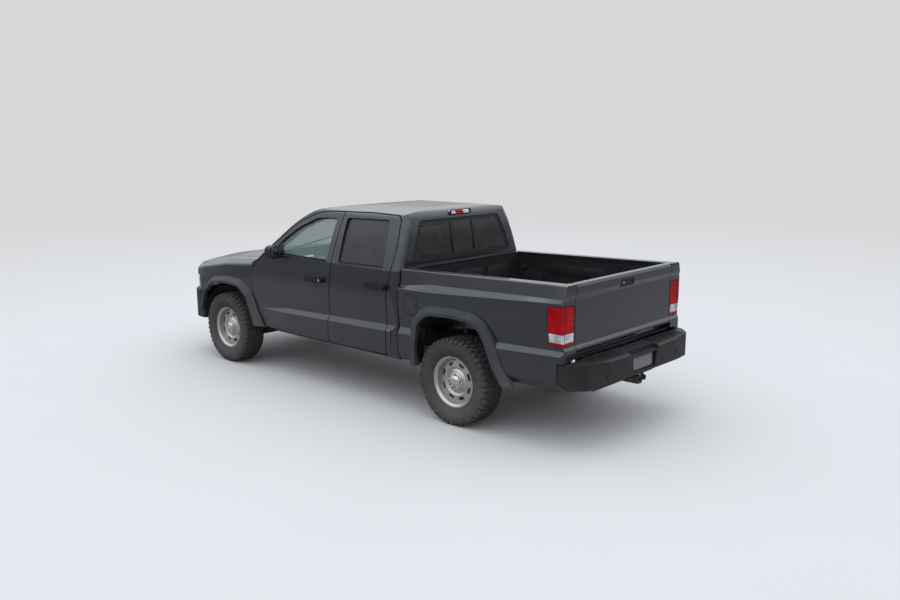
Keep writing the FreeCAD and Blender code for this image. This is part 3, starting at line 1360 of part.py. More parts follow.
def make_driveline():
    """Gearbox, transfer case and the shaft to the rear axle."""
    box_x = 1469.5
    bell = rod(V(FIREWALL_X + 12, 0, 600), V(box_x, 0, 600), 140)
    bell = bell.common(box(1150, box_x, -140, 140, 541, 760))
    gearbox = rod(V(640, 0, 515), V(FIREWALL_X + 30, 0, 535), 62)
    saddle = box(870, 930, -50, 50, 440.2, 480)
    transfer = box(520, 660, -95, 60, 455, 598)
    shaft = rod(V(530, 0, 520), V(X_REAR + 156, 0, 400), 36)
    flange = rod(V(X_REAR + 186, 0, 403), V(X_REAR + 152, 0, 399.5), 52)
    return bell.fuse([gearbox, saddle, transfer, shaft, flange]).removeSplitter()


# interior
DASH = [
    (1190, 790, 0), (1190, 1132, 0), (1080, 1150, 40), (860, 1112, 80), (792, 1040, 40), (812, 900, 60), (900, 790, 60),
]
COLUMN_Y = 385.0
WHEEL_X = 610.0
WHEEL_Z = 1050.0
COLUMN_TILT = 24.0
STEER_R = 186.0
STEER_RIM_R = 14.0
STEER_SHAFT_R = 12.0
STEER_SIDES = 8


def column_point(along):
    """A point on the steering column's axis, counted forward from the wheel's centre."""
    tilt = math.radians(COLUMN_TILT)
    return V(WHEEL_X + along * math.cos(tilt), COLUMN_Y, WHEEL_Z - along * math.sin(tilt))


def make_dashboard():
    dash = side_prism(DASH, -TUB_Y + 1, TUB_Y - 1)
    dash = dash.fuse(rod(column_point(70), column_point(330), 44))
    bore = rod(column_point(40), column_point(240), STEER_SHAFT_R + SHAFT_CLEAR)
    # cluster hood, and the console between the seats
    hood = side_prism([(820, 1090, 20), (900, 1180, 50), (1020, 1180, 50), (1060, 1120, 10)], 220, 550)
    console = box(40, 860, -105, 105, TUNNEL_Z + 0.3, 800)
    console = console.fuse(box(700, 880, -105, 105, 780, 960))
    return dash.fuse([hood, console]).cut(bore).removeSplitter()


def make_steering_wheel():
    centre = column_point(0)
    axis = column_point(1).sub(centre)
    across = V(0, 1, 0)
    section = []
    for i in range(STEER_SIDES + 1):
        turn = math.radians(360.0 * i / STEER_SIDES)
        section.append(
            centre.add(across * (STEER_R + STEER_RIM_R * math.cos(turn))).add(axis * (STEER_RIM_R * math.sin(turn))))
    rim = Part.Face(Part.makePolygon(section)).revolve(centre, axis, 360)
    hub = rod(column_point(-8), column_point(44), 52)
    shaft = rod(column_point(0), column_point(230), STEER_SHAFT_R)
    wheel = rim.fuse([hub, shaft])
    for angle in (0.0, 90.0, 180.0):
        spoke = box(centre.x - 4, centre.x + 12, centre.y, centre.y + STEER_R, centre.z - 17, centre.z + 17)
        spoke.rotate(centre, V(1, 0, 0), angle if angle != 90.0 else -90.0)
        spoke.rotate(centre, V(0, 1, 0), COLUMN_TILT)
        wheel = wheel.fuse(spoke)
    return wheel.removeSplitter()


SEAT_BASE_Z = FLOOR_Z + 0.3
SEAT_Y = 385.0
# cushion, back and headrest seen from the side, x, z, corner radius
FRONT_SEAT = [
    [(190, 690, 6), (700, 690, 50), (700, 850, 50), (190, 815, 20)],
    [(70, 700, 30), (189.7, 700, 10), (189.7, 850, 60), (70, 1330, 40), (-20, 1330, 40), (28, 820, 40)],
    [(60, 1342, 30), (50, 1480, 30), (-20, 1480, 30), (-14, 1342, 30)],
]
REAR_SEAT = [
    [(-560, 700.3, 6), (-130, 700.3, 50), (-130, 840, 50), (-560, 820, 20)],
    [(-742, 705, 30), (-560.3, 705, 10), (-560.3, 850, 60), (-650, 1330, 40), (-742, 1330, 30)],
]


def make_seats():
    pieces = []
    for middle in (SEAT_Y, -SEAT_Y):
        for points, half in zip(FRONT_SEAT, (255, 250, 130)):
            pieces.append(side_prism(points, middle - half, middle + half))
        pieces.append(box(230, 640, middle - 200, middle + 200, SEAT_BASE_Z, 689.7))
        for y in (-60, 60):
            pieces.append(rod(V(24, middle + y, 1330), V(22, middle + y, 1342), 7))
    front = pieces[0]
    for piece in pieces[1:]:
        front = front.fuse(piece)
    rear = []
    for points in REAR_SEAT:
        rear.append(side_prism(points, -640, 640))
    rear.append(box(-540, -180, -600, 600, SEAT_BASE_Z, 700))
    bench = rear[0].fuse(rear[1:])
    return front, bench


# door fittings: outside handle and, on the front doors, the mirror

def make_handle(x0, x1, z, envelope):
    bar = side_prism(
        [(x0, z - 26, 24), (x1, z - 30, 24), (x1, z + 34, 24), (x0, z + 30, 24)], BELT_Y - 20, 934)
    grip = side_prism(
        [(x0 + 44, z - 40, 16), (x1 - 44, z - 40, 16), (x1 - 44, z + 14, 16), (x0 + 44, z + 14, 16)], 880, 918)
    return bar.cut(grip).cut(envelope)


def make_mirror(envelope):
    shell = cross_prism(
        [(908, 1236, 30), (1000, 1228, 30), (1016, 1350, 40), (912, 1366, 30)], 884, 976)
    foot = plan_prism([(880, 830, 0), (1000, 830, 0), (976, 930, 20), (890, 930, 20)], 1238, 1292)
    return shell.fuse(foot).cut(envelope)


BRAKE_LAMP = [(-140, 1716, 10), (140, 1716, 10), (132, 1752, 10), (-132, 1752, 10)]


def main():
    os.makedirs("parts", exist_ok=True)
    envelope, shell, doors, glass, windshield, back_glass = make_cab()
    for name, shape in cab_nodes(shell).items():
        if name == "cab_roof":
            brake = cross_prism(BRAKE_LAMP, CAB_BACK - 60, CAB_BACK + 86)
            brake_lamp = envelope.common(brake)
            shape = shape.cut(brake)
        if name == "cab_side_left":
            cab_side = shape
        save(name, shape)
    save("cab_floor", make_floor())
    save("cab_glass", Part.makeCompound([windshield, back_glass]))

    mirror = make_mirror(envelope)
    front_fittings = Part.makeCompound([mirror, make_handle(213, 461, 1078, envelope)])
    rear_fittings = make_handle(-664, -418, 1104, envelope)
    for side, sign in SIDES:
        flip = (lambda s: s) if sign > 0 else mirrored
        for end, fittings in (("front", front_fittings), ("rear", rear_fittings)):
            save("door_" + end + "_" + side, flip(doors[end]))
            save("window_" + end + "_" + side, flip(glass[end]))
            save("fittings_" + end + "_" + side, flip(fittings))

    outer_bed, left, right, floor, panels, lamp, lid = make_bed()
    save("bed_side_left", left)
    save("bed_side_right", right)
    save("bed_floor", floor)
    save("bed_panels", panels)
    save("bedliner", make_liner())
    save("fuel_door", lid)
    save("rear_lamps", Part.makeCompound([lamp, mirrored(lamp), brake_lamp]))
    save("tailgate", make_tailgate())
    save("rear_bumper", make_rear_bumper())

    outer, inset_nose, hood, fender, headlamp, zone = make_front()
    save("hood", hood)
    fender = fender.cut(cab_side)
    fender = max(fender.Solids, key=lambda s: s.Volume)
    save("fender_left", fender)
    save("fender_right", mirrored(fender))
    save("headlamps", both(headlamp))
    save("grille", make_grille(outer, inset_nose, zone))
    front_bumper = make_front_bumper()
    save("front_bumper", front_bumper)
    save("radiator", make_radiator())
    save("engine", make_engine())
    rear_flare = make_flare(REAR_ARCH, 914, outer_bed, 458, BED_FRONT - 4, BED_REAR)
    front_flare = make_flare(FRONT_ARCH, 893, outer, 480, 2330, 1210)
    front_flare = front_flare.cut(side_prism(FRONT_REVEAL, 700, 1000))
    for piece in (fender, cab_side, front_bumper):
        front_flare = front_flare.cut(piece)
    front_flare = max(front_flare.Solids, key=lambda s: s.Volume)
    save("flares", Part.makeCompound([rear_flare, mirrored(rear_flare), front_flare, mirrored(front_flare)]))

    save("frame_rails", make_rails())
    save("crossmembers", make_crossmembers())
    save("hitch", make_hitch())
    save("front_suspension", make_front_suspension())
    save("rear_axle", make_rear_axle())
    save("exhaust", make_exhaust())
    save("fuel_tank", make_fuel_tank())
    save("driveline", make_driveline())
    save("dashboard", make_dashboard())
    save("steering_wheel", make_steering_wheel())
    front_seats, bench = make_seats()
    save("front_seats", front_seats)
    save("rear_bench", bench)

    knuckle = make_knuckle()
    save("knuckle_left", knuckle)
    save("knuckle_right", mirrored(knuckle))
    rim = make_rim(V(0, 0, 0), 1)
    tyre = make_tyre(V(0, 0, 0), 1)
    for end, x in (("front", X_FRONT), ("rear", X_REAR)):
        here = V(x, TRACK / 2, AXLE_Z)
        placed_rim = rim.translated(here)
        placed_tyre = tyre.translated(here)
        save("rim_" + end + "_left", placed_rim)
        save("rim_" + end + "_right", mirrored(placed_rim))
        save("tyre_" + end + "_left", placed_tyre)
        save("tyre_" + end + "_right", mirrored(placed_tyre))


main()
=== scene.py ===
import math

import bpy
import numpy as np
from mathutils import Matrix, Vector


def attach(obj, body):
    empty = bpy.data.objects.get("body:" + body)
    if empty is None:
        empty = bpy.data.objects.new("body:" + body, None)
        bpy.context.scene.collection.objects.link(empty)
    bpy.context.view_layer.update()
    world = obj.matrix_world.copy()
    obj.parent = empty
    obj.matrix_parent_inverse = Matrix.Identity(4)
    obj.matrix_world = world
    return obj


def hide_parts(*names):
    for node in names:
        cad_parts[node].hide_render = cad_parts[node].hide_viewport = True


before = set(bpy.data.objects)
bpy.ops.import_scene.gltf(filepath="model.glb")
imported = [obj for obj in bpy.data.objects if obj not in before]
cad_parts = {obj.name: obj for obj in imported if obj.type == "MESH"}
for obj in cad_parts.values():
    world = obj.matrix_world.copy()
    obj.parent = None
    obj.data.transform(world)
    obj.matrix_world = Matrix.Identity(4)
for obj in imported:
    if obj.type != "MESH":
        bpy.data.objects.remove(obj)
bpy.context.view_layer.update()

# Shader helpers


def connect(tree, value, socket):
    """Link another node's socket, or set a plain value."""
    if isinstance(value, bpy.types.NodeSocket):
        tree.links.new(value, socket)
    else:
        socket.default_value = value


def add_node(tree, kind, inputs=None, **settings):
    """A shader node; each input is a plain value or another node's socket."""
    node = tree.nodes.new(kind)
    for key, value in settings.items():
        setattr(node, key, value)
    for key, value in (inputs or {}).items():
        connect(tree, value, node.inputs[key])
    return node


def grey(value):
    return (value, value, value, 1.0)


def mix_color(tree, factor, first, second, mode="MIX"):
    inputs = {0: factor, 6: first, 7: second}
    node = add_node(tree, "ShaderNodeMix", inputs, data_type="RGBA", blend_type=mode)
    return node.outputs[2]


def mix_value(tree, factor, first, second):
    node = add_node(tree, "ShaderNodeMix", {0: factor, 2: first, 3: second}, data_type="FLOAT")
    return node.outputs[0]


def math_node(tree, operation, first, second=0.0, clamp=False):
    node = add_node(tree, "ShaderNodeMath", {0: first, 1: second}, operation=operation, use_clamp=clamp)
    return node.outputs[0]


def times(tree, first, second, clamp=False):
    return math_node(tree, "MULTIPLY", first, second, clamp)


def remap(tree, value, low, high, to_low=0.0, to_high=1.0):
    return add_node(tree, "ShaderNodeMapRange", {
        "Value": value, "From Min": low, "From Max": high, "To Min": to_low, "To Max": to_high,
    }).outputs[0]


def object_place(tree):
    return add_node(tree, "ShaderNodeTexCoord").outputs["Object"]


def object_axis(tree, axis):
    return add_node(tree, "ShaderNodeSeparateXYZ", {"Vector": object_place(tree)}).outputs[axis]


def noise(tree, scale, detail=4.0, roughness=0.55):
    inputs = {"Vector": object_place(tree), "Scale": scale, "Detail": detail, "Roughness": roughness}
    return add_node(tree, "ShaderNodeTexNoise", inputs).outputs["Fac"]


def mottle(tree, color, pattern, low, high, full=0.7):
    """A colour made darker and lighter by a pattern."""
    return mix_color(tree, 1.0, color, remap(tree, pattern, 0.3, full, low, high), mode="MULTIPLY")


def add_bump(tree, socket, strength, distance, height):
    bump = add_node(tree, "ShaderNodeBump", {"Strength": strength, "Distance": distance, "Height": height})
    connect(tree, bump.outputs[0], socket)


def new_group(name, inputs, outputs):
    """An empty shader group, with named sockets from (name, kind, value) and (name, kind)."""
    tree = bpy.data.node_groups.new(name, "ShaderNodeTree")
    for label, kind, value in inputs:
        socket = tree.interface.new_socket(label, in_out="INPUT", socket_type="NodeSocket" + kind)
        socket.default_value = value
    for label, kind in outputs:
        tree.interface.new_socket(label, in_out="OUTPUT", socket_type="NodeSocket" + kind)
    return tree, tree.nodes.new("NodeGroupInput").outputs, tree.nodes.new("NodeGroupOutput").inputs


def use_group(tree, group, inputs):
    """The outputs of a shader group that is given these inputs."""
    node = add_node(tree, "ShaderNodeGroup", node_tree=group)
    for key, value in inputs.items():
        connect(tree, value, node.inputs[key])
    return node.outputs


DUST_COLOR = (0.215, 0.205, 0.19, 1.0)
DUST_ROUGHNESS = 0.92
# the height, in metres, where the dust lies thickest
DUST_FULL_Z = 0.2


def make_road_dust():
    """Dry road dust that lies low on the truck and thins out upwards."""
    tree, given, out = new_group(
        "road_dust",
        [("Color", "Color", grey(0.5)), ("Roughness", "Float", 0.5), ("Amount", "Float", 0.3),
         ("Top", "Float", 0.9)],
        [("Color", "Color"), ("Roughness", "Float"), ("Clean", "Float")],
    )
    fade = remap(tree, object_axis(tree, "Z"), given["Top"], DUST_FULL_Z, 0.1, 1.0)
    patch = times(tree, noise(tree, 3.0, 6.0, 0.62), noise(tree, 120.0, 3.0))
    patch = remap(tree, patch, 0.14, 0.38, 0.3, 1.0)
    mask = times(tree, times(tree, fade, patch), given["Amount"], clamp=True)
    connect(tree, mix_color(tree, mask, given["Color"], DUST_COLOR), out["Color"])
    connect(tree, mix_value(tree, mask, given["Roughness"], DUST_ROUGHNESS), out["Roughness"])
    connect(tree, math_node(tree, "SUBTRACT", 1.0, mask), out["Clean"])
    return tree


def make_moulded_grain():
    """Pebbled grain of moulded plastic, as a normal."""
    inputs = [("Scale", "Float", 900.0), ("Depth", "Float", 0.3)]
    tree, given, out = new_group("moulded_grain", inputs, [("Normal", "Vector")])
    cells = add_node(tree, "ShaderNodeTexVoronoi", {"Vector": object_place(tree), "Scale": given["Scale"]})
    add_bump(tree, out["Normal"], given["Depth"], 0.0006, cells.outputs["Distance"])
    return tree


def make_rub_marks():
    """Fine scuffs that run mostly one way, as a mask."""
    inputs = [("Along", "Vector", (4.0, 60.0, 60.0)), ("Amount", "Float", 0.5)]
    tree, given, out = new_group("rub_marks", inputs, [("Mask", "Float")])
    stretched = {0: object_place(tree), 1: given["Along"]}
    placed = add_node(tree, "ShaderNodeVectorMath", stretched, operation="MULTIPLY").outputs[0]
    lines = add_node(tree, "ShaderNodeTexNoise", {"Vector": placed, "Scale": 1.0, "Detail": 5.0})
    mask = remap(tree, lines.outputs["Fac"], 0.54, 0.72)
    connect(tree, times(tree, mask, given["Amount"], clamp=True), out["Mask"])
    return tree


def make_cloth_weave():
    """Crossing threads, as a normal and a mask of the raised ones."""
    inputs = [("Scale", "Float", 260.0), ("Depth", "Float", 0.4)]
    tree, given, out = new_group("cloth_weave", inputs, [("Normal", "Vector"), ("Threads", "Float")])
    place = object_place(tree)
    waves = []
    inputs = {"Vector": place, "Scale": given["Scale"], "Distortion": 0.6}
    for direction in ("X", "Y", "Z"):
        wave = add_node(tree, "ShaderNodeTexWave", inputs, wave_type="BANDS", bands_direction=direction)
        waves.append(wave.outputs["Fac"])
    height = times(tree, math_node(tree, "ADD", waves[0], waves[2]), waves[1])
    add_bump(tree, out["Normal"], given["Depth"], 0.0008, height)
    connect(tree, height, out["Threads"])
    return tree


ROAD_DUST = make_road_dust()
MOULDED_GRAIN = make_moulded_grain()
RUB_MARKS = make_rub_marks()
CLOTH_WEAVE = make_cloth_weave()

# Materials


def new_material(name, **constants):
    """A material with one Principled shader, its plain values set on the shader itself."""
    material = bpy.data.materials.new(name)
    material.use_nodes = True
    tree = material.node_tree
    shader = tree.nodes["Principled BSDF"]
    for key, value in constants.items():
        shader.inputs[key.replace("_", " ").title().replace("Ior", "IOR")].default_value = value
    return material, tree, shader.inputs


def lay_dust(tree, out, color, roughness, amount, top=0.9):
    """Colour and roughness under road dust; the answer says how clean each spot stays."""
    dust = use_group(tree, ROAD_DUST, {"Color": color, "Roughness": roughness, "Amount": amount, "Top": top})
    connect(tree, dust["Color"], out["Base Color"])
    connect(tree, dust["Roughness"], out["Roughness"])
    return dust["Clean"]


def lay_grain(tree, out, scale, depth):
    connect(tree, use_group(tree, MOULDED_GRAIN, {"Scale": scale, "Depth": depth})["Normal"], out["Normal"])


def make_body_paint():
    """Charcoal metallic under a clear coat, with a little flake and light dust."""
    material, tree, out = new_material(
        "body_paint", metallic=0.8, coat_roughness=0.05, specular_ior_level=0.4)
    flake = add_node(tree, "ShaderNodeTexVoronoi", {"Vector": object_place(tree), "Scale": 1500.0})
    flake = remap(tree, flake.outputs["Color"], 0.0, 1.0, 0.86, 1.14)
    tone = remap(tree, noise(tree, 1.7, 3.0), 0.3, 0.7, 0.94, 1.06)
    color = mix_color(tree, 1.0, (0.038, 0.041, 0.049, 1.0), times(tree, flake, tone), mode="MULTIPLY")
    haze = remap(tree, noise(tree, 26.0, 6.0, 0.7), 0.35, 0.75, 0.25, 0.36)
    clean = math_node(tree, "POWER", lay_dust(tree, out, color, haze, 0.22), 3.0)
    connect(tree, times(tree, clean, 0.7), out["Coat Weight"])
    return material


def make_plastic(name, color, roughness, grain, dust, top=0.9, wear=0.0):
    """Moulded plastic with grain, a little fading and road dust."""
    material, tree, out = new_material(name, specular_ior_level=0.26)
    shade = mottle(tree, color, noise(tree, 7.0, 5.0, 0.65), 0.88, 1.16, 0.72)
    marks = use_group(tree, RUB_MARKS, {"Amount": wear})
    faded = tuple(min(1.0, channel * 2.2 + 0.03) for channel in color[:3]) + (1.0,)
    lay_dust(tree, out, mix_color(tree, marks["Mask"], shade, faded), roughness, dust, top)
    lay_grain(tree, out, 700.0, grain)
    return material


def make_tyre_rubber():
    material, tree, out = new_material("tyre_rubber", specular_ior_level=0.35)
    color = mottle(tree, (0.022, 0.022, 0.023, 1.0), noise(tree, 30.0, 6.0, 0.7), 0.8, 1.25)
    lay_dust(tree, out, color, 0.82, 0.42, 1.1)
    add_bump(tree, out["Normal"], 0.25, 0.001, noise(tree, 420.0, 4.0))
    return material


RUST_COLOR = (0.16, 0.07, 0.03, 1.0)


def make_metal(name, color, roughness, metallic, dust, rust=0.0, coat=0.0, texture=0.1):
    """Painted or bare metal with uneven shine, dust and, where asked, brown rust."""
    material, tree, out = new_material(name, coat_weight=coat, coat_roughness=0.15)
    patch = times(tree, remap(tree, noise(tree, 22.0, 8.0, 0.75), 0.5, 0.68), rust, clamp=True)
    shade = mottle(tree, color, noise(tree, 14.0, 6.0, 0.7), 0.9, 1.1)
    rough = remap(tree, noise(tree, 60.0, 4.0), 0.3, 0.7, roughness * 0.85, roughness * 1.2)
    lay_dust(tree, out, mix_color(tree, patch, shade, RUST_COLOR), rough, dust)
    connect(tree, mix_value(tree, patch, metallic, 0.0), out["Metallic"])
    add_bump(tree, out["Normal"], texture, 0.001, noise(tree, 300.0, 3.0))
    return material


def new_glass(name):
    """The start of a glass: its material, and the mask of its smears."""
    material, tree, out = new_material(name, ior=1.45, roughness=0.02, specular_ior_level=0.6)
    return material, tree, out, remap(tree, noise(tree, 5.0, 6.0, 0.7), 0.35, 0.75, 0.0, 0.06)


def make_glass(name, color, through):
    """Tinted window glass, a thin pane that shows the inside by how clear it is."""
    material, tree, out, smear = new_glass(name)
    connect(tree, mix_color(tree, smear, color, grey(0.35)), out["Base Color"])
    connect(tree, remap(tree, smear, 0.0, 0.06, 1.0 - through, 1.0 - through * 0.94), out["Alpha"])
    return material


def make_cab_glass():
    """The cab's fixed panes: clear in the windscreen, dark in the rear window."""
    material, tree, out, smear = new_glass("cab_glass")
    rear = remap(tree, object_axis(tree, "X"), 0.0, -0.001)
    tint = mix_color(tree, rear, (0.10, 0.135, 0.125, 1.0), (0.008, 0.009, 0.010, 1.0))
    connect(tree, mix_color(tree, smear, tint, grey(0.35)), out["Base Color"])
    connect(tree, math_node(tree, "ADD", mix_value(tree, rear, 0.34, 0.86), smear, clamp=True), out["Alpha"])
    return material


def make_cloth(name, color, second, scale, depth):
    material, tree, out = new_material(
        name, sheen_weight=0.35, sheen_roughness=0.5, specular_ior_level=0.2, roughness=0.92)
    weave = use_group(tree, CLOTH_WEAVE, {"Scale": scale, "Depth": depth})
    shade = mix_color(tree, weave["Threads"], color, second)
    connect(tree, mottle(tree, shade, noise(tree, 9.0, 5.0), 0.88, 1.1), out["Base Color"])
    connect(tree, weave["Normal"], out["Normal"])
    return material


# Tail lamps, in metres: the clear window's foot and top, the heights of two dark seams, and the black border,
# whose lines each have an axis, the place where the black starts and the place where it is full
LAMP_WINDOW = (0.882, 0.952)
LAMP_SEAMS = (0.9545, 1.052)
LAMP_BORDER = (("Z", 0.8607, 0.8595), ("Z", 1.162, 1.1635), ("out", 0.7487, 0.7475), ("X", -2.454, -2.4525))
# all border and seams lie behind here, where the high brake lamp isn't
LAMP_BORDER_END_X = -2.0
# the high brake lamp lies above this height, and is clear beyond its red middle
HIGH_LAMP_Z = 1.4
HIGH_LAMP_RED_HALF = 0.056


def make_lamp_red():
    """Moulded lens: red with a clear window low down, and fine prisms behind the surface."""
    material, tree, out = new_material("lamp_red", specular_ior_level=0.12, roughness=0.12)
    place = {"X": object_axis(tree, "X"), "Z": object_axis(tree, "Z")}
    place["out"] = math_node(tree, "ABSOLUTE", object_axis(tree, "Y"))
    prisms = add_node(tree, "ShaderNodeTexVoronoi", {
        "Vector": object_place(tree), "Scale": 62.0, "Randomness": 0.25,
    }).outputs["Distance"]
    blocks = remap(tree, noise(tree, 11.0, 2.0), 0.35, 0.65, 0.6, 1.2)
    shade = times(tree, remap(tree, prisms, 0.0, 0.7, 0.55, 1.25), blocks)
    red = mix_color(tree, 1.0, (0.46, 0.002, 0.006, 1.0), shade, mode="MULTIPLY")
    clear = mix_color(tree, 1.0, (0.62, 0.64, 0.66, 1.0), shade, mode="MULTIPLY")
    low = remap(tree, place["Z"], LAMP_WINDOW[0], LAMP_WINDOW[0] + 0.001)
    high = remap(tree, place["Z"], LAMP_WINDOW[1], LAMP_WINDOW[1] - 0.001)
    upper = remap(tree, place["Z"], HIGH_LAMP_Z, HIGH_LAMP_Z + 0.001)
    ends = remap(tree, place["out"], HIGH_LAMP_RED_HALF, HIGH_LAMP_RED_HALF + 0.001)
    pale = math_node(tree, "MAXIMUM", times(tree, low, high), times(tree, upper, ends))
    lines = [remap(tree, place[axis], none, full) for axis, none, full in LAMP_BORDER]
    for seam in LAMP_SEAMS:
        gap = math_node(tree, "ABSOLUTE", math_node(tree, "SUBTRACT", place["Z"], seam))
        lines.append(remap(tree, gap, 0.0022, 0.0014, 0.0, 0.7))
    border = lines[0]
    for line in lines[1:]:
        border = math_node(tree, "MAXIMUM", border, line)
    behind = remap(tree, place["X"], LAMP_BORDER_END_X, LAMP_BORDER_END_X + 0.2, 1.0, 0.0)
    border = times(tree, border, behind)
    connect(tree, mix_color(tree, border, mix_color(tree, pale, red, clear), grey(0.006)), out["Base Color"])
    add_bump(tree, out["Normal"], 0.12, 0.001, prisms)
    return material


def make_lamp_clear():
    material, tree, out = new_material(
        "lamp_clear", ior=1.49, roughness=0.04, specular_ior_level=0.6, base_color=(0.75, 0.78, 0.8, 1.0))
    connect(tree, remap(tree, noise(tree, 9.0, 4.0), 0.3, 0.7, 0.22, 0.30), out["Alpha"])
    return material


def make_mirror_glass():
    material, tree, out = new_material("mirror_glass", metallic=1.0, specular_ior_level=0.5)
    connect(tree, mix_color(tree, noise(tree, 6.0), grey(0.30), grey(0.36)), out["Base Color"])
    connect(tree, remap(tree, noise(tree, 40.0), 0.3, 0.7, 0.02, 0.06), out["Roughness"])
    return material


def make_plain(name, color, second, roughness, **constants):
    """A smooth moulded or pressed finish with slight change of tone and a fine grain."""
    material, tree, out = new_material(name, **constants)
    connect(tree, mix_color(tree, noise(tree, 12.0, 5.0, 0.65), color, second), out["Base Color"])
    rough = remap(tree, noise(tree, 50.0), 0.3, 0.7, roughness * 0.85, roughness * 1.15)
    connect(tree, rough, out["Roughness"])
    lay_grain(tree, out, 900.0, 0.12)
    return material


PAINT = make_body_paint()
FLARE = make_plastic("flare_plastic", (0.036, 0.039, 0.046, 1.0), 0.5, 0.12, 0.3)
BUMPER = make_plastic("bumper_plastic", (0.009, 0.010, 0.012, 1.0), 0.5, 0.15, 0.2, wear=0.1)
BLACK = make_plastic("black_plastic", (0.009, 0.009, 0.010, 1.0), 0.45, 0.3, 0.1, wear=0.06)
LINER = make_plastic("bed_liner", (0.006, 0.006, 0.007, 1.0), 0.5, 0.3, 0.14, top=1.4, wear=0.2)
SEAL = make_plastic("rubber_seal", (0.010, 0.010, 0.011, 1.0), 0.62, 0.1, 0.2)
CABIN = make_plastic("cabin_plastic", (0.11, 0.108, 0.105, 1.0), 0.6, 0.4, 0.05)
CABIN_DARK = make_plastic("cabin_dark", (0.035, 0.035, 0.037, 1.0), 0.55, 0.4, 0.03)
CARPET = make_cloth("cabin_carpet", (0.028, 0.028, 0.03, 1.0), (0.055, 0.054, 0.054, 1.0), 420.0, 0.8)
SEAT = make_cloth("seat_fabric", (0.11, 0.11, 0.113, 1.0), (0.15, 0.15, 0.152, 1.0), 150.0, 0.4)
HEADLINER = make_cloth("headliner", (0.25, 0.245, 0.235, 1.0), (0.34, 0.335, 0.32, 1.0), 500.0, 0.25)
RUBBER = make_tyre_rubber()
SILVER = make_metal("rim_silver", (0.46, 0.455, 0.44, 1.0), 0.32, 0.85, 0.22, coat=0.35, texture=0.04)
CHROME = make_metal("cap_chrome", (0.62, 0.62, 0.61, 1.0), 0.12, 1.0, 0.14, texture=0.02)
CHASSIS = make_metal("chassis_black", (0.016, 0.016, 0.016, 1.0), 0.55, 0.0, 0.6, rust=0.25, texture=0.2)
CAST = make_metal("cast_metal", (0.10, 0.095, 0.09, 1.0), 0.6, 0.7, 0.5, rust=0.7, texture=0.5)
EXHAUST = make_metal("exhaust_steel", (0.30, 0.28, 0.25, 1.0), 0.45, 0.9, 0.45, rust=0.6, texture=0.15)
ALLOY = make_metal("engine_alloy", (0.30, 0.30, 0.29, 1.0), 0.5, 0.7, 0.25, rust=0.08, texture=0.4)
CLEAR_GLASS = make_glass("clear_glass", (0.17, 0.25, 0.25, 1.0), 0.66)
DARK_GLASS = make_glass("dark_glass", (0.008, 0.009, 0.010, 1.0), 0.14)
CAB_GLASS = make_cab_glass()
MIRROR = make_mirror_glass()
LAMP_RED = make_lamp_red()
LAMP_CLEAR = make_lamp_clear()
AMBER = make_plain("lamp_amber", (0.62, 0.20, 0.015, 1.0), (0.74, 0.27, 0.02, 1.0), 0.15)
PLATE = make_plain("plate_blank", grey(0.16), grey(0.20), 0.45)
REFLECTOR = make_plain("reflector", grey(0.70), grey(0.78), 0.14, metallic=1.0)

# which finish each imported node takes
FINISHES = [
    (PAINT, ["hood", "cab_side_*", "cab_roof", "cab_back", "cowl", "fender_*", "door_*", "bed_side_*",
             "bed_floor", "bed_panels", "tailgate", "fuel_door"]),
    (FLARE, ["flares"]),
    (BUMPER, ["rear_bumper", "front_bumper"]),
    (BLACK, ["grille", "fittings_*", "radiator", "fuel_tank"]),
    (LINER, ["bedliner"]),
    (CABIN, ["dashboard", "steering_wheel"]),
    (CARPET, ["cab_floor"]),
    (SEAT, ["front_seats", "rear_bench"]),
    (RUBBER, ["tyre_*"]),
    (SILVER, ["rim_*"]),
    (CHASSIS, ["frame_rails", "crossmembers", "hitch", "driveline"]),
    (CAST, ["front_suspension", "rear_axle", "knuckle_*"]),
    (EXHAUST, ["exhaust"]),
    (ALLOY, ["engine"]),
    (CLEAR_GLASS, ["window_front_*"]),
    (CAB_GLASS, ["cab_glass"]),
    (DARK_GLASS, ["window_rear_*"]),
    (LAMP_CLEAR, ["headlamps"]),
    (LAMP_RED, ["rear_lamps"]),
]


def finish_nodes():
    for material, patterns in FINISHES:
        for name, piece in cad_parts.items():
            for pattern in patterns:
                if name == pattern or (pattern.endswith("*") and name.startswith(pattern[:-1])):
                    piece.data.materials.clear()
                    piece.data.materials.append(material)


finish_nodes()
bpy.context.view_layer.update()

# Modelling helpers. Places and sizes are in millimetres, as in the part's own source

SIDES = (("left", 1), ("right", -1))
# each axis with the direction in which a section's radius is drawn
AXES = {"X": ((1, 0, 0), (0, 0, 1)), "Y": ((0, 1, 0), (0, 0, 1)), "Z": ((0, 0, 1), (1, 0, 0))}
MM = 0.001
MERGE_WITHIN = 1e-5


def V(x, y, z):
    return Vector((x, y, z)) * MM


def rect(low, high):
    """The corners of a rectangle, from two opposite ones."""
    return [low, (high[0], low[1]), high, (low[0], high[1])]


def at_x(x, points):
    return [(x, y, z) for y, z in points]


def at_y(y, points):
    return [(x, y, z) for x, z in points]


def at_z(z, points):
    return [(x, y, z) for x, y in points]


def let_go():
    """Deselect everything, so that an operator acts on the next piece alone."""
    if bpy.context.mode != "OBJECT":
        bpy.ops.object.mode_set(mode="OBJECT")
    bpy.ops.object.select_all(action="DESELECT")


def take(piece):
    let_go()
    piece.select_set(True)
    bpy.context.view_layer.objects.active = piece


def edit_all(piece, kind="FACE"):
    take(piece)
    bpy.ops.object.mode_set(mode="EDIT")
    bpy.ops.mesh.select_mode(type=kind)
    bpy.ops.mesh.select_all(action="SELECT")


def leave_edit():
    bpy.ops.object.mode_set(mode="OBJECT")


def apply_place(piece):
    bpy.ops.object.transform_apply(location=True, rotation=True, scale=True)
    return piece


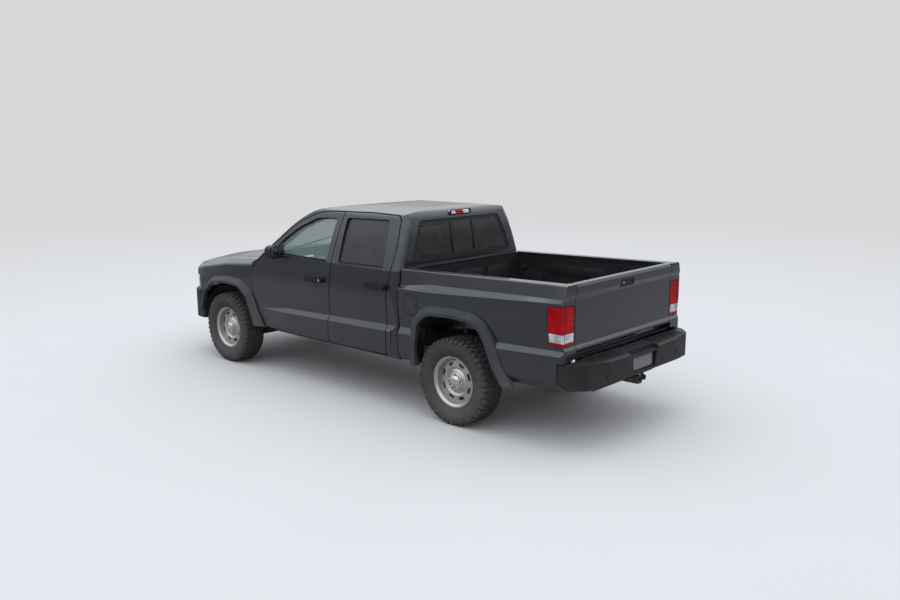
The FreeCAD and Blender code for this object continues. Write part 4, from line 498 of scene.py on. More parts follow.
def face_out(piece):
    """Merge what coincides and turn every face outwards."""
    edit_all(piece)
    bpy.ops.mesh.remove_doubles(threshold=MERGE_WITHIN)
    bpy.ops.mesh.normals_make_consistent(inside=False)
    leave_edit()
    return piece


def modify(piece, kind, **settings):
    take(piece)
    modifier = piece.modifiers.new(kind.title(), kind)
    for key, value in settings.items():
        setattr(modifier, key, value)
    bpy.ops.object.modifier_apply(modifier=modifier.name)
    return piece


def round_edges(piece, width, segments=2, angle=30.0):
    return modify(piece, "BEVEL", width=width * MM, segments=segments, limit_method="ANGLE",
                  angle_limit=math.radians(angle))


def pick(piece, test):
    """Select in edit mode the faces for which test(centre, normal) holds."""
    edit_all(piece)
    bpy.ops.mesh.select_all(action="DESELECT")
    leave_edit()
    for face in piece.data.polygons:
        face.select = bool(test(face.center * 1000, face.normal))
    bpy.ops.object.mode_set(mode="EDIT")


def cut_away(piece, test):
    pick(piece, test)
    bpy.ops.mesh.delete(type="FACE")
    leave_edit()
    return piece


def dish(piece, test, *steps):
    """Inset the faces that a test picks, step by step, each by a border and a depth."""
    pick(piece, test)
    for border, depth in steps:
        bpy.ops.mesh.inset(thickness=border * MM, depth=depth * MM)
    leave_edit()
    return piece


def leave_border(width):
    """Inset the selected face and drop what lies inside the border."""
    bpy.ops.mesh.inset(thickness=width * MM)
    bpy.ops.mesh.delete(type="FACE")


def block(low, high, edge=2.0, segments=2):
    """A rounded box between two corners."""
    let_go()
    low, high = V(*low), V(*high)
    bpy.ops.mesh.primitive_cube_add(size=1.0, location=(low + high) / 2)
    piece = bpy.context.object
    piece.scale = high - low
    return round_edges(apply_place(piece), edge, segments)


def side_block(sign, low, high, edge, segments=2):
    """A rounded box on one side of the truck; its y places are measured outwards."""
    near, far = sorted((sign * low[1], sign * high[1]))
    return block((low[0], near, low[2]), (high[0], far, high[2]), edge, segments)


def trace(points):
    """A chain of edges, drawn by pulling one corner from point to point. Stays in edit mode."""
    let_go()
    points = [V(*point) for point in points]
    bpy.ops.mesh.primitive_plane_add(size=0.01, location=points[0])
    piece = apply_place(bpy.context.object)
    edit_all(piece, "VERT")
    bpy.ops.mesh.merge(type="CENTER")
    for last, point in zip(points, points[1:]):
        bpy.ops.mesh.extrude_vertices_move(TRANSFORM_OT_translate={"value": point - last})
    bpy.ops.mesh.select_all(action="SELECT")
    return piece


def plate(points, depth, edge=1.0, segments=2, border=None):
    """A filled outline, or with a border's width an open frame, pulled out by depth."""
    piece = trace(points)
    bpy.ops.mesh.edge_face_add()
    bpy.ops.mesh.select_mode(type="FACE")
    bpy.ops.mesh.select_all(action="SELECT")
    if border:
        leave_border(border)
        bpy.ops.mesh.select_all(action="SELECT")
    bpy.ops.mesh.extrude_region_move(TRANSFORM_OT_translate={"value": V(*depth)})
    return round_edges(face_out(piece), edge, segments)


def lathe(section, steps=48, centre=(0, 0, 0), axis="Y"):
    """A turned body; the section's points are (place along the axis, radius)."""
    along, out = AXES[axis]
    piece = trace([[centre[i] + a * along[i] + r * out[i] for i in range(3)] for a, r in section])
    bpy.ops.mesh.spin(steps=steps, angle=2 * math.pi, center=V(*centre), axis=along)
    return face_out(piece)


def ring_of(piece, count, centre=(0, 0, 0), axis="Y"):
    """Repeat a piece round an axis, inside its own mesh."""
    edit_all(piece)
    part_turn = 2 * math.pi * (count - 1) / count
    bpy.ops.mesh.spin(steps=count - 1, dupli=True, angle=part_turn, center=V(*centre), axis=AXES[axis][0])
    leave_edit()
    return piece


def turn(piece, degrees, axis="Y", centre=(0, 0, 0)):
    take(piece)
    bpy.ops.transform.rotate(value=math.radians(degrees), orient_axis=axis, center_override=V(*centre))
    return apply_place(piece)


def shift(piece, x, y, z):
    take(piece)
    bpy.ops.transform.translate(value=V(x, y, z))
    return apply_place(piece)


def twin(piece):
    """A copy with a mesh of its own."""
    other = piece.copy()
    other.data = piece.data.copy()
    bpy.context.scene.collection.objects.link(other)
    return other


def flip_over(piece):
    """Move a piece to the truck's other side."""
    take(piece)
    piece.scale = (1, -1, 1)
    return face_out(apply_place(piece))


def join(pieces):
    let_go()
    for piece in pieces:
        piece.select_set(True)
    bpy.context.view_layer.objects.active = pieces[0]
    bpy.ops.object.join()
    return pieces[0]


def hose(points, radius, steps=6):
    """A round rod or hose along a smooth line."""
    let_go()
    bpy.ops.curve.primitive_nurbs_path_add()
    piece = bpy.context.object
    piece.data.splines.clear()
    spline = piece.data.splines.new("NURBS")
    spline.points.add(len(points) - 1)
    for place, point in zip(spline.points, points):
        place.co = (*V(*point), 1.0)
    spline.order_u = 3
    spline.use_endpoint_u = True
    spline.resolution_u = steps
    piece.data.bevel_depth = radius * MM
    piece.data.bevel_resolution = 3
    piece.data.use_fill_caps = True
    take(piece)
    bpy.ops.object.convert(target="MESH")
    return face_out(bpy.context.object)


def touch(node, start, direction):
    """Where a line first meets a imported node."""
    found, place, normal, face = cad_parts[node].ray_cast(V(*start), Vector(direction).normalized())
    if not found:
        raise ValueError(f"no surface of {node} from {start} towards {direction}")
    return place * 1000


def pane_ring(node, facing, width, height, keep=None):
    """A raised strip along the edge of a packed pane, on the side that looks one way."""
    piece = twin(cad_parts[node])
    for key in list(piece.keys()):
        del piece[key]
    piece.parent = None
    piece.data.materials.clear()
    edit_all(piece)
    bpy.ops.mesh.remove_doubles(threshold=MERGE_WITHIN)
    leave_edit()
    looks = Vector(facing).normalized()
    cut_away(piece, lambda centre, normal: normal.dot(looks) < 0.75 or (keep and not keep(centre)))
    edit_all(piece)
    leave_border(width)
    leave_edit()
    modify(piece, "SOLIDIFY", thickness=height * MM, offset=1.0)
    return round_edges(piece, 1.0, 1, 50)


def settle(piece, name, material, body="root", smooth=35.0):
    """A finished piece gets its shading, name, finish and body."""
    take(piece)
    apply_place(piece)
    bpy.ops.object.shade_smooth_by_angle(angle=math.radians(smooth))
    piece.name = name
    piece.data.name = name
    piece.data.materials.clear()
    piece.data.materials.append(material)
    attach(piece, body)
    return piece


# Tyres: a carcass with ribs on its side wall and five rows of lugs

WHEEL_Y = 797.5
AXLE_Z = 380.0
FRONT_X = 1870.0
REAR_X = -1465.0
WHEELS = [("front_left", FRONT_X, 1), ("front_right", FRONT_X, -1), ("rear_left", REAR_X, 1),
          ("rear_right", REAR_X, -1)]
LUGS = 44
LUG_FOOT_R = 364.0
LUG_H = 15.8
CARCASS = [
    (82, 203), (89, 206), (94, 222), (101, 231), (104, 233), (104, 241), (110, 250), (118, 274), (122, 296),
    (122.6, 312), (121, 330), (117, 345), (108, 358), (93, 366), (60, 369.5), (0, 371),
]
SHOULDER_LUG = [(70, 362), (70, 379.4), (93, 378.8), (108, 374), (116, 364), (121.5, 346)]
# plan of the inner lugs, along the tread and across it
SIDE_ROW = [(-21, 24), (6, 22), (22, 34), (19, 62), (-8, 64), (-17, 46)]
MIDDLE_ROW = [(-23, -9), (4, -18), (19, -12), (23, 8), (-3, 17), (-19, 11)]


def make_shoulder_row(low, phase, half):
    section = SHOULDER_LUG + [(123, low), (117.5, low - 1), (110, 352), (98, 360)]
    lug = plate(at_x(-half, section), (2 * half, 0, 0), 1.6, 1)
    return ring_of(turn(lug, phase), LUGS // 2)


def make_inner_row(plan, phase):
    lug = plate(at_z(LUG_FOOT_R, plan), (0, 0, LUG_H), 1.4, 1)
    return ring_of(turn(lug, phase), LUGS)


def make_tyre():
    pitch = 360.0 / LUGS
    carcass = lathe(CARCASS + [(-out, up) for out, up in reversed(CARCASS[:-1])], 96)
    half_tread = join([
        make_shoulder_row(334, 0.0, 18), make_shoulder_row(348, pitch, 16),
        make_inner_row(SIDE_ROW, 0.45 * pitch),
    ])
    other_half = turn(twin(half_tread), 180, "Z")
    return join([carcass, half_tread, other_half, make_inner_row(MIDDLE_ROW, 0.2 * pitch)])


# Wheel trim: a chrome centre cap with covers over the nuts, a valve and a balance weight

CAP_SECTION = [(57, 74), (61, 75), (64, 70), (66, 58.5), (77, 57), (84, 47), (90, 34), (93.5, 18), (94.5, 0)]
CAP_HUB = [(92, 22), (96.5, 20), (97.5, 15), (96.6, 0)]
NUT_COVER = [(58, 13.5), (80, 12.5), (87, 8), (88.5, 0)]
NUTS = 5
NUT_R = 59.0


def make_cap():
    dome = lathe(CAP_SECTION, 40)
    return join([dome, ring_of(lathe(NUT_COVER, 14, (0, 0, NUT_R)), NUTS), lathe(CAP_HUB, 28)])


def place_wheel(piece, x, side):
    """Stand a wheel piece, modelled facing left, at its axle."""
    if side < 0:
        turn(piece, 180, "Z")
    return shift(piece, x, side * WHEEL_Y, AXLE_Z)


def make_wheels():
    models = [("tyre", make_tyre(), RUBBER), ("hub_cap", make_cap(), CHROME),
              ("valve", hose([(0, 60, 200), (0, 72, 196), (0, 92, 190)], 4.2), SEAL),
              ("balance_weight", block((-22, 93, 212), (22, 98, 221), 1.5), ALLOY)]
    for kind, model, material in models:
        for corner, x, side in WHEELS:
            name = kind + "_" + corner + ("_treaded" if kind == "tyre" else "")
            piece = settle(place_wheel(twin(model), x, side), name, material, "wheel_" + corner, 40.0)
            if kind == "tyre":
                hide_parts("tyre_" + corner)
        bpy.data.objects.remove(model)


BRAKE_DISC = [(26, 64), (26, 150), (4, 150), (4, 64)]


def make_brakes():
    for corner, x, side in WHEELS[:2]:
        disc = place_wheel(lathe(BRAKE_DISC, 56), x, side)
        settle(disc, "brake_disc_" + corner, ALLOY, "wheel_" + corner)


# Windows: rubber round each pane, black strips at the belt and the corner plate by the mirror

# bars of the sliding middle part of the rear window: two corners, y and z, and how far each stands out
SLIDER_BARS = [((-161, 1362), (-143, 1646), 9), ((143, 1362), (161, 1646), 9),
               ((-560, 1364), (560, 1376), 6), ((-560, 1630), (560, 1642), 6)]
# side panes stand 852 out at a height of 1285 and lean in above it
PANE_OUT = 852.0
PANE_FOOT_Z = 1285.0
PANE_LEAN = 0.334
CORNER_PLATE = [(1002, 1316), (966, 1268), (872, 1268), (870, 1300), (900, 1352), (930, 1392)]
BELT_RUNS = {"front": [(870, 1262), (640, 1264), (400, 1263), (190, 1262)],
             "rear": [(10, 1270), (-200, 1272), (-400, 1275), (-600, 1279)]}


def make_window_seals():
    for side, sign in SIDES:
        for end, width in (("front", 13), ("rear", 11)):
            ring = pane_ring(f"window_{end}_{side}", (0, sign, 0.3), width, 5)
            settle(ring, f"window_seal_{end}_{side}", SEAL, f"door_{end}_{side}")
    windscreen = pane_ring("cab_glass", (1, 0, 0.6), 26, 3, lambda centre: centre.x > 300)
    settle(windscreen, "windscreen_border", SEAL)
    back = pane_ring("cab_glass", (-1, 0, 0.25), 34, 4, lambda centre: centre.x < 0)
    settle(back, "rear_window_border", SEAL)


def make_slider_frame():
    bars = []
    for low, high, depth in SLIDER_BARS:
        corners = [touch("cab_glass", corner, (1, 0, 0)) for corner in at_x(-1160, rect(low, high))]
        bars.append(plate([(place.x - 1, place.y, place.z) for place in corners], (-depth, 0, 0), 1.2))
    settle(join(bars), "rear_window_slider", BLACK)


def make_mirror_plates():
    """A black corner plate closes the front of each front window and carries the mirror's foot."""
    for side, sign in SIDES:
        points = [(x, sign * (PANE_OUT - (z - PANE_FOOT_Z) * PANE_LEAN + 2), z) for x, z in CORNER_PLATE]
        corner = plate(points, (0, sign * 10, 0), 2.0)
        settle(corner, "mirror_corner_plate_" + side, BLACK, "door_front_" + side)


def make_belt_strips():
    """A rubber wiper strip stands along the foot of each side window."""
    for side, sign in SIDES:
        for end, run in BELT_RUNS.items():
            line = []
            for x, z in run:
                place = touch(f"door_{end}_{side}", (x, sign * 1400, z - 10), (0, -sign, 0))
                line.append((x, place.y - sign * 2.5, z - 3))
            settle(hose(line, 5.0), f"belt_strip_{end}_{side}", SEAL, f"door_{end}_{side}")


# Mirrors, door locks, fuel door notch

MIRROR_FACE = [(916, 1244), (990, 1238), (1003, 1262), (1004, 1330), (992, 1350), (928, 1356), (914, 1336)]
MIRROR_X = 885.0
LOCK = [(-4, 10), (1.2, 10), (2.2, 8.6), (1.6, 7.2), (1.0, 7), (1.0, 0)]
NOTCH_CENTRE = (-1046, 904.2, 992)
NOTCH_HALF = (8, 21)


def make_mirrors():
    for side, sign in SIDES:
        face = [(sign * y, z) for y, z in MIRROR_FACE]
        pane = plate(at_x(MIRROR_X, face), (-3.5, 0, 0), 1.0)
        settle(pane, "mirror_glass_" + side, MIRROR, "door_front_" + side)
        rim = plate(at_x(MIRROR_X + 1, face), (-7, 0, 0), 1.0, border=3)
        settle(rim, "mirror_rim_" + side, BLACK, "door_front_" + side)


def make_locks():
    place = touch("fittings_front_left", (236, 1400, 1078), (0, -1, 0))
    for side, sign in SIDES:
        lock = lathe(LOCK, 24, place)
        if sign < 0:
            flip_over(lock)
        settle(lock, "door_lock_" + side, CHROME, "door_front_" + side)


def make_fuel_notch():
    """A black finger notch in the fuel door."""
    x, y, z = NOTCH_CENTRE
    turns = [2 * math.pi * i / 16 for i in range(16)]
    oval = [(x + NOTCH_HALF[0] * math.cos(a), z + NOTCH_HALF[1] * math.sin(a)) for a in turns]
    settle(plate(at_y(y, oval), (0, 1.8, 0), 0.6), "fuel_door_notch", SEAL, "fuel_door")


# Tailgate, rear bumper, tail lamps

GATE_FACE_X = -2594.0
GATE_BEZEL = rect((-97, 1223), (97, 1287))
GATE_PADDLE = [(-80, 1238), (80, 1238), (80, 1270), (66, 1277), (-66, 1277), (-80, 1270)]
GATE_LOCK = [(0, 9), (-2, 9), (-3, 7.5), (-2.2, 6), (-2.2, 0)]


def make_gate_handle():
    bezel = plate(at_x(GATE_FACE_X + 14, GATE_BEZEL), (-17, 0, 0), 2.0, border=11)
    settle(bezel, "tailgate_bezel", BLACK, "tailgate")
    paddle = plate(at_x(GATE_FACE_X + 4, GATE_PADDLE), (-5, 0, 0), 2.5)
    dish(paddle, lambda centre, normal: normal.x < -0.9, (7, -2.5))
    settle(paddle, "tailgate_paddle", BLACK, "tailgate")
    settle(lathe(GATE_LOCK, 20, (GATE_FACE_X - 1, 66, 1254), "X"), "tailgate_lock", CHROME, "tailgate")


# one half of the tread pads on the bumper's top, in plan, and the lower pad in the middle
STEP_PAD = [(-2612, 872), (-2634, 866), (-2728, 752), (-2752, 520), (-2758, 262), (-2612, 262)]
MIDDLE_PAD = rect((-2722, 222), (-2770, -222))
BUMPER_TOP_Z = 722.0
BUMPER_STEP_Z = 688.0
RIBS = 22
RIB_FIRST_Y = 276.0
RIB_PITCH = 22.0
RIB_FRONT_X = -2618.0


def rib_rear(y):
    """Where a rib ends at the pad's rear edge, which turns forward twice towards the bumper's end."""
    if y > 740:
        return -2724 + (y - 740) * 0.72
    return -2750 if y < 520 else -2748 + (y - 520) * 0.105


def make_bumper_pads():
    pads = []
    for sign in (1, -1):
        pads.append(plate([(x, sign * y, BUMPER_TOP_Z - 1) for x, y in STEP_PAD], (0, 0, 4), 1.5))
        for i in range(RIBS):
            y = RIB_FIRST_Y + RIB_PITCH * i
            low = (rib_rear(y), sign * y - 5, BUMPER_TOP_Z + 2)
            pads.append(block(low, (RIB_FRONT_X, sign * y + 5, BUMPER_TOP_Z + 5.2), 1.2, 1))
    pads.append(plate(at_z(BUMPER_STEP_Z - 1, MIDDLE_PAD), (0, 0, 3.5), 1.2))
    settle(join(pads), "bumper_step_pads", BLACK)


GROMMET = [(-2.0, 0), (-1.0, 13), (-5.0, 15), (-5.5, 20), (-2.5, 24), (2, 24)]
PLATE_X = -2755.5
PLATE_SCREW = [(-1, 5.5), (-3.4, 5.0), (-4.2, 3.4), (-3.0, 2.6), (-3.0, 0)]


def make_bumper_face():
    grommets = [lathe(GROMMET, 28, (-2770.5, y, 600), "X") for y in (530, -530)]
    settle(join(grommets), "bumper_grommets", SEAL)
    blank = plate(at_x(PLATE_X, rect((-152, 558), (152, 664))), (-2, 0, 0), 0.8)
    dish(blank, lambda centre, normal: normal.x < -0.9, (4, 0), (2, -0.8))
    settle(blank, "plate_blank", PLATE)
    screws = [lathe(PLATE_SCREW, 12, (PLATE_X - 1.5, y, z), "X") for y in (-90, 90) for z in (568, 654)]
    settle(join(screws), "plate_screws", ALLOY)
    lights = [block((-2766, y - 20, 668), (-2742, y + 20, 684), 3) for y in (-186, 186)]
    settle(join(lights), "plate_lights", BLACK)


SOCKET = [(0, 0), (0, 19), (-14, 20), (-16, 23), (-28, 23), (-28, 18), (-20, 17), (-20, 0)]
SOCKET_PLACE = (-2700, -92, 452)
HITCH_PIN = (-2678, 452)


def make_hitch_parts():
    bracket = block((-2704, -118, 420), (-2699, -66, 484), 1.5)
    settle(join([lathe(SOCKET, 28, SOCKET_PLACE, "X"), bracket]), "trailer_socket", BLACK)
    x, z = HITCH_PIN
    pin = hose([(x, y, z) for y in (-58, 0, 56)], 7.5)
    wire = [(x, 52, z), (x - 2, 56, z - 22), (x + 18, 50, z - 28), (x + 14, 54, z + 10), (x, 54, z + 14)]
    clip = hose(wire, 1.8)
    settle(join([pin, clip]), "hitch_pin", ALLOY)


def make_lamp_borders():
    """A black gasket line round each tail lamp, on its rear face, and round the high brake lamp."""
    for side, sign in SIDES:
        ring = plate(at_x(-2579, rect((sign * 742, 858), (sign * 868, 1165))), (-4, 0, 0), 0.8, border=3.5)
        settle(ring, "tail_lamp_gasket_" + side, SEAL)
    high = [(-146, 1712), (146, 1712), (138, 1756), (-138, 1756)]
    settle(plate(at_x(-768, high), (20, 0, 0), 1.5, border=6), "high_lamp_bezel", BLACK)


# Wheel arches and bed

ARCH_LINER = [(610, 452), (884, 458)]


def make_arch_liners():
    """A dark plastic shell over each front wheel."""
    for side, sign in SIDES:
        shell = lathe([(sign * out, radius) for out, radius in ARCH_LINER], 64, (FRONT_X, 0, AXLE_Z))
        cut_away(shell, lambda centre, normal: centre.z < AXLE_Z + 40)
        modify(shell, "SOLIDIFY", thickness=3 * MM, offset=1.0)
        settle(shell, "arch_liner_" + side, SEAL)


TIE_DOWN_FOOT = [(0, 0), (0, 26), (-5, 24), (-7, 10), (-7, 0)]
TIE_DOWN_XS = (-2440, -960)
# the loop of a tie-down: along the bed, out from the middle, height
TIE_DOWN_LOOP = [(-16, 742, 1158), (-19, 730, 1140), (0, 722, 1124), (19, 730, 1140), (16, 742, 1158)]
LINER_WALL_Y = 751.0
LINER_FRONT_X = -880.0
SIDE_FIELDS = [((-2380, 905), (-1980, 1105)), ((-1180, 905), (-930, 1105)), ((-1900, 1090), (-1260, 1200))]


def make_bed_details():
    loops = []
    for x in TIE_DOWN_XS:
        for sign in (1, -1):
            foot = [(sign * out, radius) for out, radius in TIE_DOWN_FOOT]
            loops.append(lathe(foot, 24, (x, sign * 747, 1150)))
            loops.append(hose([(x + dx, sign * y, z) for dx, y, z in TIE_DOWN_LOOP], 4))
    settle(join(loops), "bed_tie_downs", BLACK)
    fields = []
    for sign in (1, -1):
        for low, high in SIDE_FIELDS:
            fields.append(plate(at_y(sign * LINER_WALL_Y, rect(low, high)), (0, sign * -6, 0), 3.0))
    for y in (-430, 0, 430):
        fields.append(plate(at_x(LINER_FRONT_X, rect((y - 170, 905), (y + 170, 1195))), (-8, 0, 0), 3.0))
    settle(join(fields), "liner_wall_fields", LINER)


# Front end: wipers and lamp insides

# pivot on the cowl, x and y, and the blade's far end on the glass, y and z
WIPERS = [(1297, 430, -60, 1330), (1312, -90, -560, 1322)]
WIPER_POST = [(0, 0), (0, 13), (14, 12), (20, 8), (20, 0)]
WIPER_FOOT_Z = 1262.0


def make_wipers():
    parts = []
    for pivot_x, pivot_y, tip_y, tip_z in WIPERS:
        base = touch("cowl", (pivot_x, pivot_y, 1600), (0, 0, -1))
        tip, low, high = (touch("cab_glass", (3000, y, z), (-1, 0, 0)) for y, z in (
            ((pivot_y + 3 * tip_y) / 4, tip_z - 20), (pivot_y - 40, WIPER_FOOT_Z), (tip_y, tip_z + 34)))
        arm = [base + Vector((0, 0, 14)), (base + tip) / 2 + Vector((28, 0, 22)), tip + Vector((16, 0, 12))]
        blade = [low + Vector((9, 0, 7)), (low + high) / 2 + Vector((11, 0, 9)), high + Vector((9, 0, 7))]
        parts += [lathe(WIPER_POST, 20, base, "Z"), hose(arm, 5.5), hose(blade, 5)]
    settle(join(parts), "wipers", BLACK)


# the two bowls of a headlamp: x, y, radius
BOWLS = ((2566, 560, 54), (2520, 690, 50))
HEADLAMP_Z = 858.0
BULB = [(-46, 0), (-44, 6), (-20, 7), (-8, 6), (-4, 0)]
TURN_INSERT = [(-26, 6), (-16, 22), (6, 30), (9, 30), (9, 0)]


def make_lamp_insides():
    bowls, bulbs, ambers = [], [], []
    for sign in (1, -1):
        for x, y, radius in BOWLS:
            section = [(-44, 6), (-34, 22), (-16, 40), (10, radius), (14, radius + 3), (6, radius + 3),
                       (-20, 44), (-48, 12), (-48, 6)]
            bowls.append(lathe(section, 36, (x, sign * y, HEADLAMP_Z), "X"))
            bulbs.append(lathe(BULB, 16, (x, sign * y, HEADLAMP_Z), "X"))
        ambers.append(lathe(TURN_INSERT, 28, (2464, sign * 800, 862), "X"))
    settle(join(bowls), "headlamp_reflectors", REFLECTOR)
    settle(join(bulbs), "headlamp_bulbs", PLATE)
    settle(join(ambers), "headlamp_turn_inserts", AMBER)


# Seats: padded cushions on hard bases

SEAT_Y = 385.0
SEAM_HALF = 6.0
CLOTH_PRESSURE = 4.0
CLOTH_STEPS = 20


def points_of(piece):
    """The places and the normals of a piece's points, in millimetres."""
    places = np.zeros(len(piece.data.vertices) * 3)
    normals = np.zeros(len(piece.data.vertices) * 3, dtype=np.float32)
    piece.data.vertices.foreach_get("co", places)
    piece.data.vertex_normals.foreach_get("vector", normals)
    return places.reshape(-1, 3) * 1000, normals.reshape(-1, 3)


def place_points(piece, places):
    piece.data.vertices.foreach_set("co", (places / 1000).ravel())
    piece.data.update()


def puff(pad, limit, grain):
    """Swell a pad with the cloth solver, and cap how far any of its points may move."""
    modify(pad, "REMESH", mode="VOXEL", voxel_size=grain * MM)
    rest, normals = points_of(pad)
    take(pad)
    cloth = pad.modifiers.new("Cloth", "CLOTH")
    cloth.settings.use_pressure = True
    cloth.settings.uniform_pressure_force = CLOTH_PRESSURE
    cloth.settings.effector_weights.gravity = 0.0
    for step in range(1, CLOTH_STEPS + 1):
        bpy.context.scene.frame_set(step)
    bpy.ops.object.modifier_apply(modifier=cloth.name)
    bpy.context.scene.frame_set(1)
    places, normals = points_of(pad)
    move = places - rest
    length = np.maximum(np.linalg.norm(move, axis=1), 1e-9)
    place_points(pad, rest + move * np.minimum(1.0, limit / length)[:, None])


def sew(pad, seams):
    """Press sewn channels into a pad: each seam is an axis, its place, the least height and a depth."""
    places, normals = points_of(pad)
    for axis, place, low_z, depth in seams:
        gap = np.abs(places[:, axis] - place)
        press = depth * np.exp(-((gap / SEAM_HALF) ** 2)) * (places[:, 2] > low_z)
        places -= normals * press[:, None]
    place_points(pad, places)


def make_pad(low, high, hollow, axis, corner=34.0):
    """A cushion body: a rounded box, its face along an axis lower in the middle than at its side bolsters."""
    pad = block(low, high, corner, 5)
    return dish(pad, lambda centre, normal: normal[axis] > 0.9, (75, 0), (20, -hollow))


def finish_pad(pad, name, seams, limit=16.0, grain=9.0):
    puff(pad, limit, grain)
    modify(pad, "SUBSURF", levels=1, render_levels=1)
    sew(pad, seams)
    return settle(pad, name, SEAT, smooth=60.0)


def turn_back(pad, lean=11.0, foot=0.76, forward=0.08):
    """Lean a seat back: its top moves rearwards. The foot's height and the shift are in metres."""
    for vertex in pad.data.vertices:
        rise = vertex.co.z - foot
        vertex.co.x -= rise * math.tan(math.radians(lean)) - forward


def make_seat_base():
    hard = [block((215, SEAT_Y - 225, 600), (680, SEAT_Y + 225, 706), 10),
            block((-22, SEAT_Y - 225, 640), (40, SEAT_Y + 225, 760), 14)]
    dish(hard[0], lambda centre, normal: abs(normal.y) > 0.9, (20, -6))
    for dy in (-170, 170):
        hard.append(block((200, SEAT_Y + dy - 22, 566), (700, SEAT_Y + dy + 22, 602), 4))
    for dy in (-60, 60):
        hard.append(hose([(x, SEAT_Y + dy, z) for x, z in ((20, 1290), (24, 1330), (26, 1380))], 6))
    lever = block((300, SEAT_Y + 226, 640), (420, SEAT_Y + 238, 668), 5)
    return join(hard + [lever])


def make_front_seats():
    cushion = make_pad((205, SEAT_Y - 240, 705), (690, SEAT_Y + 240, 835), 20, 2)
    back = make_pad((-5, SEAT_Y - 235, 760), (110, SEAT_Y + 235, 1318), 22, 0, 30)
    turn_back(back)
    rest = block((-10, SEAT_Y - 120, 1352), (62, SEAT_Y + 120, 1472), 30, 5)
    finish_pad(cushion, "front_seat_cushion_left", [
        (0, 330, 760, 7), (0, 470, 760, 7), (1, SEAT_Y - 150, 770, 8), (1, SEAT_Y + 150, 770, 8)])
    finish_pad(back, "front_seat_back_left", [
        (2, 930, 0, 6), (2, 1130, 0, 6), (1, SEAT_Y - 140, 0, 7), (1, SEAT_Y + 140, 0, 7)])
    finish_pad(rest, "front_headrest_left", [(1, SEAT_Y - 92, 0, 4), (1, SEAT_Y + 92, 0, 4)], 10)
    settle(make_seat_base(), "front_seat_base_left", CABIN_DARK)
    for kind in ("front_seat_cushion", "front_seat_back", "front_headrest", "front_seat_base"):
        model = bpy.data.objects[kind + "_left"]
        other = flip_over(twin(model))
        for key in list(other.keys()):
            del other[key]
        settle(other, kind + "_right", model.data.materials[0], smooth=60.0)
        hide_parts("front_seats")


def make_rear_bench():
    thirds = [(1, y, 0, 8) for y in (-215, 215)]
    cushion = make_pad((-540, -625, 712), (-140, 625, 828), 14, 2)
    finish_pad(cushion, "rear_bench_cushion", thirds + [(0, -300, 760, 6)], grain=12.0)
    back = make_pad((-690, -625, 800), (-585, 625, 1318), 14, 0, 26)
    finish_pad(back, "rear_bench_back", thirds + [(2, 1180, 0, 6)], grain=12.0)
    stand = block((-530, -600, 568), (-180, 600, 716), 12)
    dish(stand, lambda centre, normal: normal.x > 0.9, (30, -8))
    settle(stand, "rear_bench_base", CABIN_DARK)
    for name in ("rear_bench_cushion", "rear_bench_back", "rear_bench_base"):
        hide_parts("rear_bench")


# Steering wheel, dash and console

WHEEL_HUB = (610.0, 385.0, 1050.0)
COLUMN_TILT = math.radians(24.0)
GRIP_R = 185.0
GRIP_THICK_R = 13.0
GRIP_CORNERS = 14
HUB_SECTION = [(46, 46), (10, 58), (-14, 62), (-26, 54), (-31, 30), (-32, 0)]
COLUMN = [(20, 0), (20, 34), (60, 36), (200, 36), (200, 0)]
SPOKE = [(-24, 50), (24, 50), (17, 178), (-17, 178)]


def make_steering_wheel():
    turns = [2 * math.pi * i / GRIP_CORNERS for i in range(GRIP_CORNERS + 1)]
    section = [(GRIP_THICK_R * math.sin(a), GRIP_R + GRIP_THICK_R * math.cos(a)) for a in turns]
    grip = lathe(section, 64, axis="X")
    hub = lathe(HUB_SECTION, 36, axis="X")
    spokes = [turn(plate(at_x(-8, SPOKE), (14, 0, 0), 5), angle, "X") for angle in (90, -90, 180)]
    wheel = join([grip, hub, lathe(COLUMN, 28, axis="X")] + spokes)
    for vertex in wheel.data.vertices:
        x, z = vertex.co.x, vertex.co.z
        vertex.co.x = x * math.cos(COLUMN_TILT) + z * math.sin(COLUMN_TILT)
        vertex.co.z = z * math.cos(COLUMN_TILT) - x * math.sin(COLUMN_TILT)
    shift(wheel, *WHEEL_HUB)
    settle(wheel, "steering_wheel_grip", CABIN_DARK, "steering_wheel", 40)
    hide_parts("steering_wheel")


CLUSTER = [(235, 1050), (535, 1050), (525, 1150), (385, 1164), (245, 1150)]
DIAL_Z = 1102.0
DIALS = ((300, 34), (385, 44), (470, 34))
TICKS = 11
TICK_SWEEP = 24.0


def dash_x(y, z):
    """Where the dashboard's rear face stands at a place."""
    return touch("dashboard", (-400, y, z), (1, 0, 0)).x


def make_cluster():
    x = dash_x(385, 1120)
    settle(plate(at_x(x - 1, CLUSTER), (-6, 0, 0), 3), "cluster_panel", CABIN_DARK)
    dials, marks = [], []
    for y, radius in DIALS:
        centre = (x - 7, y, DIAL_Z)
        section = [(0, 0), (0, radius), (-5, radius + 3), (-7, radius), (-2, radius - 4), (-2, 0)]
        dials.append(lathe(section, 40, centre, "X"))
        marks.append(block((x - 12, y - 2, DIAL_Z), (x - 10.5, y + 1, DIAL_Z + radius * 0.8), 0.5, 1))
        for i in range(TICKS):
            inner, outer = DIAL_Z + radius * 0.72, DIAL_Z + radius * 0.86
            tick = block((x - 10.5, y - 1, inner), (x - 9.6, y + 1, outer), 0.2, 1)
            marks.append(turn(tick, TICK_SWEEP * i - 120, "X", centre))
    settle(join(dials), "cluster_dials", BLACK)
    settle(join(marks), "cluster_marks", PLATE)


KNOB = [(0, 0), (0, 15), (-12, 13.5), (-14, 11), (-14, 0)]
KNOBS = ((-82, 1000), (82, 1000), (-66, 932), (0, 932), (66, 932))


